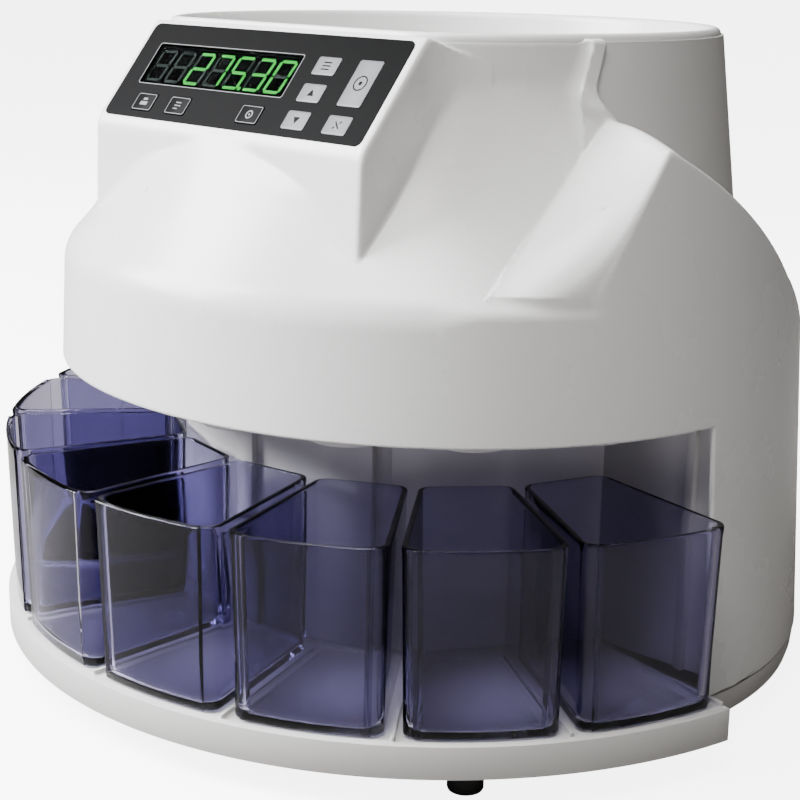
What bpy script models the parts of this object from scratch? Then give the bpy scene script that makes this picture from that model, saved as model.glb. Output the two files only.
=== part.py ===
"""Coin sorting machine: hopper, spinning feed disc, sorting plate, eight cups and a display console.

Units are metres, +Z is up and the front faces -Y. Every piece is drawn with the sorting axis
at x = 0, y = 0, and the whole machine then moves back by AXIS_Y, so that its outer box is
centred on the origin.
"""
import math

import bmesh
import bpy
from mathutils import Matrix, Vector

# Overall sizes
RIM_HEIGHT = 0.266
BODY_HALF_WIDTH = 0.1613
TRAY_RADIUS = 0.190
REAR_REACH = 0.140
AXIS_Y = (TRAY_RADIUS - REAR_REACH) / 2

# Clearances and walls
GAP = 0.0003
RUNNING_GAP = 0.00005
OVERRUN = 0.006
COVER_WALL = 0.0025
FULL_TURN = 2 * math.pi
ROUND_STEPS = 72
BORE_STEPS = 24

# Body shell: an ellipse in plan that grows towards the table
BODY_NARROWING = 0.010
BODY_HALF_DEPTH = BODY_HALF_WIDTH - BODY_NARROWING
BODY_FORWARD = 0.0075
BODY_DRAFT_SHARE = 0.053
CREASE_DROP = 0.093
CREASE_Z = RIM_HEIGHT - CREASE_DROP
BAND_HEIGHT = 0.0475
HOOD_BOTTOM_Z = CREASE_Z - BAND_HEIGHT
BAY_EDGE_Y = -0.022

# Front slope that flares from the hopper wall out to the body shell
FLARE_REACH = 0.0458
FLARE_RADIUS = BODY_HALF_WIDTH - FLARE_REACH
FLARE_DROP = 0.016
FLARE_TOP_Z = RIM_HEIGHT - FLARE_DROP
FLARE_POWER_SHARE = 1.6
FLARE_LEVELS = 9

# Shoulders beside the hopper
CREASE_TOP_SETBACK = 0.002
CREASE_TOP_X = FLARE_RADIUS - CREASE_TOP_SETBACK
CREASE_LEAN = 0.0079
CREASE_FOOT_X = CREASE_TOP_X + CREASE_LEAN
SHOULDER_DROP = 0.0295
CREASE_TOP_Z = RIM_HEIGHT - SHOULDER_DROP
SHOULDER_FOOT_RISE = 0.0015
SHOULDER_FOOT_Z = CREASE_Z + SHOULDER_FOOT_RISE
EDGE_TOP_SETBACK = 0.0229
EDGE_TOP_Y = BAY_EDGE_Y - EDGE_TOP_SETBACK
EDGE_DROP = 0.0373
EDGE_TOP_Z = RIM_HEIGHT - EDGE_DROP
EDGE_LEAN = 0.0292
EDGE_FOOT_Y = EDGE_TOP_Y - EDGE_LEAN
EDGE_FOOT_RISE = 0.0058
EDGE_FOOT_Z = CREASE_Z + EDGE_FOOT_RISE
SHOULDER_BULGE = 0.0025
SHOULDER_ROOT_SHARE = 0.35
SHOULDER_LEVELS = 6
SHOULDER_ROOT_DEPTH = 0.0155
SHOULDER_INNER_X = CREASE_TOP_X - SHOULDER_ROOT_DEPTH

# Rear deck that falls from the shoulders to the back
DECK_OVERLAP = 0.0109
DECK_FRONT_Y = EDGE_TOP_Y + DECK_OVERLAP
DECK_SLOPE_SHARE = 0.5
DECK_BEND = 0.45
DECK_STRAIGHT_RUN = 0.105
DECK_REAR_SLOPE_SHARE = 0.8
DECK_CROWN = 0.013
CROWN_POWER_SHARE = 1.6
CROWN_INNER_SETBACK = 0.0035
CROWN_INNER_X = FLARE_RADIUS - CROWN_INNER_SETBACK
CROWN_OUTER_SETBACK = 0.0073
CROWN_OUTER_X = BODY_HALF_WIDTH - CROWN_OUTER_SETBACK
DECK_STATIONS = 8
ARCH_STATIONS = 5

# Hopper and the tower behind it
RIM_THICKNESS = 0.004
RIM_OVERHANG = 0.0007
RIM_RADIUS = FLARE_RADIUS + RIM_OVERHANG
HOPPER_RADIUS = FLARE_RADIUS - COVER_WALL - 2 * GAP
HOPPER_WALL = 0.0025
CHORD_DEPTH = 0.0253
HOPPER_CHORD_Y = CHORD_DEPTH - FLARE_RADIUS
KNEE_NARROWING = 0.0155
HOPPER_KNEE_RADIUS = HOPPER_RADIUS - KNEE_NARROWING
KNEE_DROP = 0.061
HOPPER_KNEE_Z = RIM_HEIGHT - KNEE_DROP
THROAT_NARROWING = 0.037
THROAT_RADIUS = HOPPER_KNEE_RADIUS - THROAT_NARROWING
THROAT_DROP = 0.025
THROAT_TOP_Z = HOPPER_KNEE_Z - THROAT_DROP
THROAT_LENGTH = 0.008
THROAT_Z = THROAT_TOP_Z - THROAT_LENGTH
TOWER_PROUD = 0.0011
TOWER_RADIUS = FLARE_RADIUS + TOWER_PROUD
TOWER_DRAFT_SHARE = 0.1227
TOWER_WALL = 0.0025
TOWER_TUCK = 0.010

# Console with the slanted panel
PANEL_WIDTH = 0.1517
PANEL_SLOPE_LENGTH = 0.0452
PANEL_SETBACK = 0.0028
PANEL_TOP_Y = HOPPER_CHORD_Y - PANEL_SETBACK
PANEL_DROP = 0.0031
PANEL_TOP_Z = RIM_HEIGHT - PANEL_DROP
PANEL_TILT = math.radians(51.3)
PANEL_BORDER = 0.0029
PANEL_SIDE_BORDER = 0.00365
CONSOLE_HALF_WIDTH = PANEL_WIDTH / 2 + PANEL_SIDE_BORDER
CONSOLE_FLARE = 0.004
CONSOLE_DEPTH = 0.0302
CONSOLE_BACK_Y = HOPPER_CHORD_Y + CONSOLE_DEPTH
CONSOLE_FRONT_LEAN = 0.002
OVERLAY_THICKNESS = 0.0012
OVERLAY_LEDGE = 0.0022
CONSOLE_WALL = 0.0032

# Display and keys: centre and size on the panel, from its top left corner
WINDOW_SIZE = (0.0872, 0.0184)
WINDOW_MARGIN = 0.0113
WINDOW_DROP = 0.0102
WINDOW_PLACE = (WINDOW_MARGIN + WINDOW_SIZE[0] / 2, WINDOW_DROP + WINDOW_SIZE[1] / 2)
WINDOW_THICKNESS = 0.0016
KEY_WIDTH = 0.0123
KEY_HEIGHT = 0.0081
KEY_THICKNESS = 0.0030
KEY_PROUD = 0.0004
KEY_MARGIN = 0.0158
KEY_COLUMN_STEP = 0.0221
KEY_COLUMN_RIGHT = PANEL_WIDTH - KEY_MARGIN
KEY_COLUMN_LEFT = KEY_COLUMN_RIGHT - KEY_COLUMN_STEP
KEY_FOOT_MARGIN = 0.0072
KEY_ROW_STEP = 0.0121
KEY_ROW_BOTTOM = PANEL_SLOPE_LENGTH - KEY_FOOT_MARGIN
KEY_ROW_MIDDLE = KEY_ROW_BOTTOM - KEY_ROW_STEP
KEY_ROW_TOP = KEY_ROW_MIDDLE - KEY_ROW_STEP
START_HEIGHT = KEY_ROW_STEP + KEY_HEIGHT
START_PLACE_V = (KEY_ROW_TOP + KEY_ROW_MIDDLE) / 2
PRINT_PLACE_U = 0.0223
REPORT_STEP = 0.0215
SET_STEP = 0.0263
MODULE_THICKNESS = 0.0060
BOARD_THICKNESS = 0.0016
BOARD_SIDE_MARGIN = 0.00585
BOARD_TOP_MARGIN = 0.014
BOARD_FOOT_MARGIN = 0.0007

# Base and tray
PAN_BOTTOM_Z = 0.007
PAN_HEIGHT = 0.0117
PAN_TOP_Z = PAN_BOTTOM_Z + PAN_HEIGHT
HOUSING_BOTTOM_Z = PAN_TOP_Z + GAP
PAN_FLOOR = 0.003
PAN_INSET = 0.004
PAN_WALL = 0.003
PAN_SETBACK = 0.090
PAN_FRONT_Y = PAN_SETBACK - TRAY_RADIUS
TRAY_BOTTOM_Z = 0.012
TRAY_HEIGHT = 0.0128
TRAY_TOP_Z = TRAY_BOTTOM_Z + TRAY_HEIGHT
TRAY_SKIN = 0.0026
TRAY_HALF_ANGLE = math.radians(79.4)
RIB_WIDTH = 0.0015
RIB_HEIGHT = 0.0016
RIB_OUTER_SETBACK = 0.003
END_RIB_LENGTH = 0.030
FOOT_RADIUS = 0.0068
FOOT_ANGLE = math.radians(48)
FOOT_SETBACK = 0.017
REAR_FOOT_SIDE_SETBACK = 0.0713
REAR_FOOT_SETBACK = 0.045

# Sorting deck: its width follows the body shell, and the chutes stand inside its rim
PLATE_CLEARANCE = 0.0113
PLATE_FRONT_RADIUS = BODY_HALF_WIDTH - PLATE_CLEARANCE
PLATE_DROP = 0.023
PLATE_BOTTOM_Z = CREASE_Z - PLATE_DROP
PLATE_THICKNESS = 0.004
PLATE_FRONT_HALF_ANGLE = math.radians(85)
PLATE_RIM = 0.002
CHUTE_BORE = 0.0140
CHUTE_WALL = 0.0018
CHUTE_RADIUS = CHUTE_BORE + CHUTE_WALL
CHUTE_PLACE_RADIUS = PLATE_FRONT_RADIUS - PLATE_RIM - CHUTE_BORE
CHUTE_REACH = 0.0055
CHUTE_BOTTOM_Z = HOOD_BOTTOM_Z - CHUTE_REACH
REAR_CLEARANCE = 0.0035
RING_TRACK_DROP = 0.0004
RING_SETBACK = 0.0005
FENCE_THICKNESS = 0.0025
FENCE_HEIGHT = 0.008
SLOT_DEPTH = 0.016
SLOT_WIDTH_FIRST = 0.0185
SLOT_WIDTH_STEP = 0.001
TRACK_WIDTH = 0.0195
DISC_LIFT = 0.004
DISC_THICKNESS = 0.004
DISC_HUB_RADIUS = 0.016
DISC_HUB_HEIGHT = 0.012
GUIDE_SETBACK = 0.007
GUIDE_THICKNESS = 0.002
GUIDE_START_ANGLE = math.radians(150)
GUIDE_END_ANGLE = math.radians(205)
GUIDE_HEIGHT = 0.008

# Bay wall behind the chutes and cups
BAY_WALL_CLEARANCE = 0.0062
BAY_WALL_RADIUS = CHUTE_PLACE_RADIUS - CHUTE_RADIUS - BAY_WALL_CLEARANCE
BAY_WALL_THICKNESS = 0.0025
BAY_RIB_DEPTH = 0.003
BAY_RIB_HALF_ANGLE = math.radians(2.5)
FACET_BREAK_ANGLE = math.radians(31)
FACET_START_ANGLE = math.radians(35)
FACET_END_ANGLE = math.radians(80)
FACET_RECESS = 0.006
BAY_END_SETBACK = 0.005
TRAY_INNER_SETBACK = 0.042
RIB_INNER_SETBACK = 0.006

# Cups
CUP_COUNT = 8
CUP_PITCH = math.radians(19.77)
CUP_FRONT_SETBACK = 0.0022
CUP_OUTER_RADIUS = TRAY_RADIUS - CUP_FRONT_SETBACK
CUP_BACK_CLEARANCE = 0.004
CUP_INNER_RADIUS = BAY_WALL_RADIUS + CUP_BACK_CLEARANCE
CUP_OUTER_HALF_ANGLE = math.radians(9.24)
CUP_INNER_HALF_ANGLE = math.radians(8.85)
CUP_HEADROOM = 0.029
CUP_TOP_Z = HOOD_BOTTOM_Z - CUP_HEADROOM
CUP_BOTTOM_Z = TRAY_TOP_Z + GAP
CUP_WALL = 0.0020
CUP_TAPER = 0.0012
CUP_CORNER = 0.005
CUP_ARC_STEPS = 6
CUP_CORNER_STEPS = 3

# Drive
SHAFT_RADIUS = 0.006
BEARING_RADIUS = 0.012
BEARING_FLANGE = 0.005
BEARING_LENGTH = 0.008
PULLEY_RADIUS = 0.046
PULLEY_HEIGHT = 0.010
PULLEY_DROP = 0.009
MOTOR_PULLEY_RADIUS = 0.009
PULLEY_SPACING = 0.017
MOTOR_Y = PULLEY_RADIUS + MOTOR_PULLEY_RADIUS + PULLEY_SPACING
MOTOR_RADIUS = 0.027
MOTOR_LENGTH = 0.060
MOTOR_SHAFT_RADIUS = 0.0025
BELT_THICKNESS = 0.002
BELT_HEIGHT = 0.007
BRACKET_THICKNESS = 0.0025
BRACKET_HALF_WIDTH = 0.040
BRACKET_DEPTH = 0.034
SENSOR_BOARD_DROP = 0.009
SENSOR_BOARD_THICKNESS = 0.0016
SENSOR_BOARD_MARGIN = 0.0017
SENSOR_BOARD_HALF_ANGLE = math.radians(77)
POST_RADIUS = 0.005
POST_SETBACK = 0.0186
POST_ANGLE = math.radians(123.4)

# Electrics at the rear
REAR_PANEL_HALF_WIDTH = 0.045
REAR_PANEL_RISE = 0.008
REAR_PANEL_BOTTOM_Z = HOUSING_BOTTOM_Z + REAR_PANEL_RISE
REAR_PANEL_HEIGHT = 0.051
REAR_PANEL_TOP_Z = REAR_PANEL_BOTTOM_Z + REAR_PANEL_HEIGHT
REAR_PANEL_THICKNESS = 0.0025
ELECTRICS_RISE = 0.023
ELECTRICS_Z = REAR_PANEL_BOTTOM_Z + ELECTRICS_RISE
INLET_SETBACK = 0.025
INLET_X = INLET_SETBACK - REAR_PANEL_HALF_WIDTH
INLET_WIDTH = 0.0285
INLET_HEIGHT = 0.0210
INLET_DEPTH = 0.020
INLET_WALL = 0.0022
SWITCH_STEP = 0.030
SWITCH_X = INLET_X + SWITCH_STEP
SWITCH_WIDTH = 0.0105
SWITCH_HEIGHT = 0.0170
SWITCH_DEPTH = 0.008
SWITCH_PROUD = 0.0016
SWITCH_PLAY = 0.0012
SWITCH_TILT = math.radians(6)
PORT_STEP = 0.020
PORT_X = SWITCH_X + PORT_STEP
PORT_WIDTH = 0.0130
PORT_HEIGHT = 0.0125
PORT_DEPTH = 0.014
PORT_WALL = 0.0016
SUPPLY_X = -0.012
SUPPLY_SETBACK = 0.055
SUPPLY_WIDTH = 0.084
SUPPLY_DEPTH = 0.040
SUPPLY_BLOCK_HEIGHT = 0.022
SUPPLY_BLOCK_WIDTH = 0.034
SUPPLY_BLOCK_DEPTH = 0.026

# Levels worked out from the sizes above
COVER_TOP_Z = RIM_HEIGHT - RIM_THICKNESS - GAP
PLATE_TOP_Z = PLATE_BOTTOM_Z + PLATE_THICKNESS
DISC_BOTTOM_Z = PLATE_TOP_Z + DISC_LIFT
DISC_TOP_Z = DISC_BOTTOM_Z + DISC_THICKNESS
TRACK_Z = DISC_TOP_Z - RING_TRACK_DROP
PULLEY_BOTTOM_Z = PLATE_BOTTOM_Z - PULLEY_DROP - PULLEY_HEIGHT
MOTOR_TOP_Z = PULLEY_BOTTOM_Z - 2 * GAP - BRACKET_THICKNESS - SHAFT_RADIUS / 2
DECK_STRAIGHT_Y = EDGE_TOP_Y + DECK_STRAIGHT_RUN
PANEL_DOWN = Vector((0, -math.cos(PANEL_TILT), -math.sin(PANEL_TILT)))
PANEL_OUT = Vector((0, -math.sin(PANEL_TILT), math.cos(PANEL_TILT)))
PANEL_CORNER = Vector((-PANEL_WIDTH / 2, PANEL_TOP_Y, PANEL_TOP_Z))
KEYS = (
    ("key_batch", KEY_COLUMN_LEFT, KEY_ROW_TOP, KEY_HEIGHT),
    ("key_up", KEY_COLUMN_LEFT, KEY_ROW_MIDDLE, KEY_HEIGHT),
    ("key_down", KEY_COLUMN_LEFT, KEY_ROW_BOTTOM, KEY_HEIGHT),
    ("key_start", KEY_COLUMN_RIGHT, START_PLACE_V, START_HEIGHT),
    ("key_clear", KEY_COLUMN_RIGHT, KEY_ROW_BOTTOM, KEY_HEIGHT),
    ("key_print", PRINT_PLACE_U, KEY_ROW_BOTTOM, KEY_HEIGHT),
    ("key_report", PRINT_PLACE_U + REPORT_STEP, KEY_ROW_BOTTOM, KEY_HEIGHT),
    ("key_set", KEY_COLUMN_LEFT - SET_STEP, KEY_ROW_BOTTOM, KEY_HEIGHT),
)


# Scene and materials

def clear_scene():
    for item in list(bpy.data.objects):
        bpy.data.objects.remove(item, do_unlink=True)
    for group in list(bpy.data.collections):
        bpy.data.collections.remove(group)


def new_group(name):
    group = bpy.data.collections.new(name)
    bpy.context.scene.collection.children.link(group)
    return group


def make_material(name, colour, roughness, metallic=0.0, alpha=1.0):
    material = bpy.data.materials.new(name)
    material.use_nodes = True
    shader = material.node_tree.nodes["Principled BSDF"]
    shader.inputs["Base Color"].default_value = (*colour, 1.0)
    shader.inputs["Roughness"].default_value = roughness
    shader.inputs["Metallic"].default_value = metallic
    shader.inputs["Alpha"].default_value = alpha
    return material


WHITE = (0.79, 0.79, 0.78)
PALETTE = {
    "housing": (WHITE, 0.32, 0.0),
    "black_gloss": ((0.012, 0.012, 0.012), 0.25, 0.0),
    "smoke": ((0.05, 0.06, 0.06), 0.12, 0.0),
    "key_grey": ((0.30, 0.31, 0.32), 0.4, 0.0),
    "cup": ((0.28, 0.28, 0.45), 0.12, 0.0),
    "rubber": ((0.02, 0.02, 0.02), 0.8, 0.0),
    "steel": ((0.55, 0.55, 0.56), 0.3, 1.0),
    "brass": ((0.60, 0.46, 0.20), 0.35, 1.0),
    "board": ((0.03, 0.16, 0.07), 0.45, 0.0),
    "dark_plastic": ((0.05, 0.05, 0.055), 0.5, 0.0),
}


# Shape helpers

def add_object(name, mesh, group):
    item = bpy.data.objects.new(name, mesh)
    group.objects.link(item)
    return item


def from_bmesh(name, shape, group):
    mesh = bpy.data.meshes.new(name)
    shape.normal_update()
    bmesh.ops.recalc_face_normals(shape, faces=shape.faces)
    shape.to_mesh(mesh)
    shape.free()
    return add_object(name, mesh, group)


def box(name, low, high, group):
    """A box from its lowest corner to its highest corner."""
    shape = bmesh.new()
    bmesh.ops.create_cube(shape, size=1.0)
    low, high = Vector(low), Vector(high)
    size = high - low
    for vertex in shape.verts:
        vertex.co = Vector(co * side for co, side in zip(vertex.co, size)) + (low + high) / 2
    return from_bmesh(name, shape, group)


def cylinder(name, centre, radius, bottom, top, group, steps=BORE_STEPS):
    shape = bmesh.new()
    bmesh.ops.create_cone(
        shape, cap_ends=True, segments=steps, radius1=radius, radius2=radius, depth=top - bottom,
        matrix=Matrix.Translation((centre[0], centre[1], (top + bottom) / 2)))
    return from_bmesh(name, shape, group)


def loft(name, rings, group):
    """A closed solid through rings that have the same number of points."""
    shape = bmesh.new()
    rows = [[shape.verts.new(point) for point in ring] for ring in rings]
    count = len(rows[0])
    for lower, upper in zip(rows, rows[1:]):
        for i in range(count):
            j = (i + 1) % count
            shape.faces.new((lower[i], lower[j], upper[j], upper[i]))
    shape.faces.new(list(reversed(rows[0])))
    shape.faces.new(rows[-1])
    shape.normal_update()
    bmesh.ops.triangulate(shape, faces=shape.faces)
    return from_bmesh(name, shape, group)


def turned(name, profile, group, steps=ROUND_STEPS, closed=True):
    """A turned solid: a profile of (radius, height) points with a Screw modifier."""
    mesh = bpy.data.meshes.new(name)
    count = len(profile)
    edges = [(i, i + 1) for i in range(count - 1)]
    if closed:
        edges.append((count - 1, 0))
    mesh.from_pydata([(r, 0.0, z) for r, z in profile], edges, [])
    item = add_object(name, mesh, group)
    screw = item.modifiers.new("Turn", "SCREW")
    screw.axis = "Z"
    screw.angle = FULL_TURN
    screw.steps = steps
    screw.render_steps = steps
    screw.use_merge_vertices = True
    screw.merge_threshold = 1e-6
    return as_mesh(item)


def slab(name, outlines, bottom, top, group):
    """A flat plate from a filled 2D curve; outlines after the first are holes."""
    curve = bpy.data.curves.new(name, "CURVE")
    curve.dimensions = "2D"
    curve.fill_mode = "BOTH"
    curve.extrude = (top - bottom) / 2
    for outline in outlines:
        spline = curve.splines.new("POLY")
        spline.points.add(len(outline) - 1)
        for point, (x, y) in zip(spline.points, outline):
            point.co = (x, y, 0.0, 1.0)
        spline.use_cyclic_u = True
    item = add_object(name, curve, group)
    item.location.z = (top + bottom) / 2
    return as_mesh(item)


def as_mesh(item):
    """Replace an object by a plain mesh of its evaluated, welded shape."""
    bpy.context.view_layer.update()
    graph = bpy.context.evaluated_depsgraph_get()
    mesh = bpy.data.meshes.new_from_object(item.evaluated_get(graph))
    shape = bmesh.new()
    shape.from_mesh(mesh)
    shape.transform(item.matrix_world)
    bmesh.ops.remove_doubles(shape, verts=shape.verts, dist=1e-7)
    bmesh.ops.recalc_face_normals(shape, faces=shape.faces)
    name = item.name
    group = item.users_collection[0]
    bpy.data.objects.remove(item, do_unlink=True)
    shape.to_mesh(mesh)
    shape.free()
    return add_object(name, mesh, group)


def combine(item, tool, operation):
    """Boolean with a tool that is then hidden as a guide."""
    modifier = item.modifiers.new(operation.title(), "BOOLEAN")
    modifier.operation = operation
    modifier.solver = "EXACT"
    modifier.object = tool
    tool.hide_render = True
    tool.display_type = "WIRE"
    return item


def cut(item, tool):
    return combine(item, tool, "DIFFERENCE")


def clip(item, tool):
    return combine(item, tool, "INTERSECT")


def join(item, tool):
    return combine(item, tool, "UNION")


def dress(item, key, smooth=True):
    """Give a node its own material and its shading."""
    colour, roughness, metallic = PALETTE[key]
    item.data.materials.clear()
    item.data.materials.append(make_material(item.name + "_" + key, colour, roughness, metallic))
    if smooth:
        item.data.shade_smooth()
        item.data.set_sharp_from_angle(angle=math.radians(35))
    return item


def polar(radius, angle):
    """Plan point at an angle from the front, positive towards +X."""
    return (radius * math.sin(angle), -radius * math.cos(angle))


def arc(radius, start, end, steps):
    return [polar(radius, start + (end - start) * i / steps) for i in range(steps + 1)]


def circle(centre, radius, steps=BORE_STEPS):
    return [(centre[0] + radius * math.cos(FULL_TURN * i / steps),
             centre[1] + radius * math.sin(FULL_TURN * i / steps)) for i in range(steps)]


def radial_rectangle(radius, angle, width, depth):
    """Plan rectangle centred at a radius, turned to face along it."""
    across_x, across_y = math.cos(angle), math.sin(angle)
    points = []
    for side, reach in ((-1, -1), (1, -1), (1, 1), (-1, 1)):
        x, y = polar(radius + reach * depth / 2, angle)
        points.append((x + side * width / 2 * across_x, y + side * width / 2 * across_y))
    return points


def cup_angle(index):
    """Angle of a cup, counted from the right end of the tray."""
    return ((CUP_COUNT - 1) / 2 - index) * CUP_PITCH


# Body shell

def body_axes(z):
    growth = BODY_DRAFT_SHARE * (CREASE_Z - z)
    return BODY_HALF_WIDTH + growth, BODY_HALF_DEPTH + growth


def ellipse(half_width, half_depth, centre_y, z, shift=0.0, steps=ROUND_STEPS):
    angles = [FULL_TURN * (i + shift) / steps for i in range(steps)]
    return [(half_width * math.cos(a), centre_y + half_depth * math.sin(a), z) for a in angles]


def body_ring(z, inset):
    """Its points lie half a step off those of the front slope, so that their edges cross cleanly."""
    half_width, half_depth = body_axes(z)
    return ellipse(half_width - inset, half_depth - inset, -BODY_FORWARD, z, 0.5)


def flare_axes(z, inset):
    share = (max(FLARE_TOP_Z - z, 0.0) / (FLARE_TOP_Z - CREASE_Z)) ** FLARE_POWER_SHARE
    half_width = FLARE_RADIUS + (BODY_HALF_WIDTH - FLARE_RADIUS) * share
    half_depth = FLARE_RADIUS + (BODY_HALF_DEPTH - FLARE_RADIUS) * share
    return half_width - inset, half_depth - inset, -BODY_FORWARD * share


def flare_ring(z, inset):
    half_width, half_depth, centre_y = flare_axes(z, inset)
    return ellipse(half_width, half_depth, centre_y, z)


def flare_solid(name, inset, top, group):
    low = CREASE_Z - OVERRUN
    levels = [low + (FLARE_TOP_Z - low) * i / FLARE_LEVELS for i in range(FLARE_LEVELS + 1)]
    foot_width, foot_depth = body_axes(0.0)
    skirt = foot_width + OVERRUN
    rings = [ellipse(skirt, foot_depth + OVERRUN, -BODY_FORWARD, -OVERRUN)]
    rings.append(ellipse(skirt, foot_depth + OVERRUN, -BODY_FORWARD, low - GAP - inset))
    rings += [flare_ring(z, inset) for z in levels]
    rings.append(flare_ring(top, inset))
    return loft(name, rings, group)


def crease_point(z):
    """Plan point where the shoulder leaves the front slope."""
    share = (CREASE_TOP_Z - z) / (CREASE_TOP_Z - SHOULDER_FOOT_Z)
    x = CREASE_TOP_X + (CREASE_FOOT_X - CREASE_TOP_X) * share
    half_width, half_depth, centre_y = flare_axes(z, 0.0)
    reach = max(1.0 - (x / half_width) ** 2, 0.0)
    return Vector((x, centre_y - half_depth * math.sqrt(reach)))


def edge_point(z):
    """Plan point where the shoulder front meets the side of the body shell."""
    share = (EDGE_TOP_Z - z) / (EDGE_TOP_Z - EDGE_FOOT_Z)
    y = EDGE_TOP_Y + (EDGE_FOOT_Y - EDGE_TOP_Y) * share
    half_width, half_depth = body_axes(z)
    reach = 1.0 - ((y + BODY_FORWARD) / half_depth) ** 2
    return Vector((half_width * math.sqrt(reach), y))


def shoulder_ring(z, inset, side):
    level = min(max(z, EDGE_FOOT_Z), CREASE_TOP_Z)
    crease = crease_point(level)
    edge = edge_point(level)
    along = edge - crease
    normal = Vector((along.y, -along.x)).normalized()
    start = crease - along * SHOULDER_ROOT_SHARE
    middle = crease + along / 2 + normal * SHOULDER_BULGE
    end = edge + along.normalized() * 2 * OVERRUN
    back_y = REAR_REACH + OVERRUN
    points = [start, middle, end, Vector((end.x + OVERRUN, back_y)), Vector((SHOULDER_INNER_X, back_y))]
    shifted = [point - normal * inset for point in points[:3]] + points[3:]
    return [(side * point.x, point.y, z) for point in shifted]


def deck_height(x, y):
    run = min(y, DECK_STRAIGHT_Y) - EDGE_TOP_Y
    height = EDGE_TOP_Z - DECK_SLOPE_SHARE * run
    if run > 0:
        height -= run * run / DECK_BEND
    height -= DECK_REAR_SLOPE_SHARE * max(y - DECK_STRAIGHT_Y, 0.0)
    share = (abs(x) - CROWN_INNER_X) / (CROWN_OUTER_X - CROWN_INNER_X)
    share = min(max(share, 0.0), 1.0)
    return height + DECK_CROWN * (1.0 - share ** CROWN_POWER_SHARE)


def deck_space(name, drop, front, group):
    """Everything above the rear deck, as a cutter that starts at the plane y = front."""
    back = REAR_REACH + 2 * OVERRUN
    side = BODY_HALF_WIDTH + 3 * OVERRUN
    top = RIM_HEIGHT + OVERRUN
    half = [CROWN_INNER_X + (CROWN_OUTER_X - CROWN_INNER_X) * i / ARCH_STATIONS
            for i in range(ARCH_STATIONS + 1)] + [side]
    xs = [-x for x in reversed(half)] + half
    stations = [front + (DECK_STRAIGHT_Y - front) * i / DECK_STATIONS for i in range(DECK_STATIONS + 1)]
    stations.append(back)
    rings = []
    for y in stations:
        arch = [(x, y, deck_height(x, y) - drop) for x in xs]
        rings.append(arch + [(side, y, top), (-side, y, top)])
    return loft(name, rings, group)


def shoulder_solid(name, inset, side, group, tools):
    low = CREASE_Z - OVERRUN
    levels = [low]
    levels += [SHOULDER_FOOT_Z + (FLARE_TOP_Z - SHOULDER_FOOT_Z) * i / SHOULDER_LEVELS
               for i in range(SHOULDER_LEVELS + 1)]
    item = loft(name, [shoulder_ring(z, inset, side) for z in levels], group)
    return cut(item, deck_space(name + "_deck", inset, EDGE_TOP_Y - 3 * OVERRUN, tools))


def panel_point(u, v, out=0.0):
    """World point on the panel from its top left corner, raised by out."""
    return PANEL_CORNER + Vector((u, 0, 0)) + PANEL_DOWN * v + PANEL_OUT * out


def console_profile(inset):
    """Side view (y, z) of the wedge: lip over its front, top edge, and its step behind the hopper."""
    border = PANEL_BORDER - inset
    top = panel_point(0.0, -border, -inset)
    lip = panel_point(0.0, PANEL_SLOPE_LENGTH + border, -inset)
    back = HOPPER_CHORD_Y - GAP
    return [(lip.y, lip.z), (top.y, top.z), (back, top.z)]


def across(name, outline, half_width, widen, group):
    """A solid with a side outline of (y, z) points, wider towards the back by widen."""
    front = min(y for y, z in outline)
    depth = max(y for y, z in outline) - front
    rings = []
    for side in (-1, 1):
        rings.append([(side * (half_width + widen * (y - front) / depth), y, z) for y, z in outline])
    return loft(name, rings, group)


def console_solid(name, inset, foot, group):
    profile = console_profile(inset)
    front = profile[0][0] - CONSOLE_FRONT_LEAN
    shelf = COVER_TOP_Z - GAP - inset
    outline = [(CONSOLE_BACK_Y, foot), (front, foot)] + profile
    outline += [(profile[-1][0], shelf), (CONSOLE_BACK_Y, shelf)]
    return across(name, outline, CONSOLE_HALF_WIDTH - inset, CONSOLE_FLARE, group)


def console_clearing(name, inset, group):
    """Space in front of and above the panel, where the front slope must not reach."""
    profile = console_profile(inset)
    far = -TRAY_RADIUS - OVERRUN
    high = RIM_HEIGHT + 2 * OVERRUN
    outline = [(far, profile[0][1])] + profile + [(profile[-1][0], high), (far, high)]
    return across(name, outline, CONSOLE_HALF_WIDTH, 0.0, group)


def cover_form(name, inset, group, tools):
    """The outside of the top cover (inset 0), or the space inside it."""
    low = HOUSING_BOTTOM_Z if inset == 0 else HOUSING_BOTTOM_Z - OVERRUN
    top = COVER_TOP_Z if inset == 0 else COVER_TOP_Z + OVERRUN
    form = flare_solid(name + "_flare", inset, top, tools)
    console_inset = CONSOLE_WALL if inset else 0.0
    cut(form, console_clearing(name + "_clearing", console_inset, tools))
    cut(form, deck_space(name + "_rear", inset, DECK_FRONT_Y + inset, tools))
    for side, word in ((1, "_right"), (-1, "_left")):
        join(form, shoulder_solid(name + word, inset, side, tools, tools))
    console_foot = SHOULDER_FOOT_Z if inset == 0 else SHOULDER_FOOT_Z - OVERRUN
    join(form, console_solid(name + "_console", console_inset, console_foot, tools))
    body = loft(name, [body_ring(low, inset), body_ring(CREASE_Z, inset),
                       body_ring(RIM_HEIGHT + 2 * OVERRUN, inset)], group)
    clip(body, form)
    wide = BODY_HALF_WIDTH + 4 * OVERRUN
    flat = box(name + "_flat", (-wide, -wide - OVERRUN, -wide),
               (wide, REAR_REACH - inset, 2 * RIM_HEIGHT), tools)
    return clip(body, flat)


def tower_radius(z):
    return TOWER_RADIUS + TOWER_DRAFT_SHARE * (COVER_TOP_Z - z)


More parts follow.
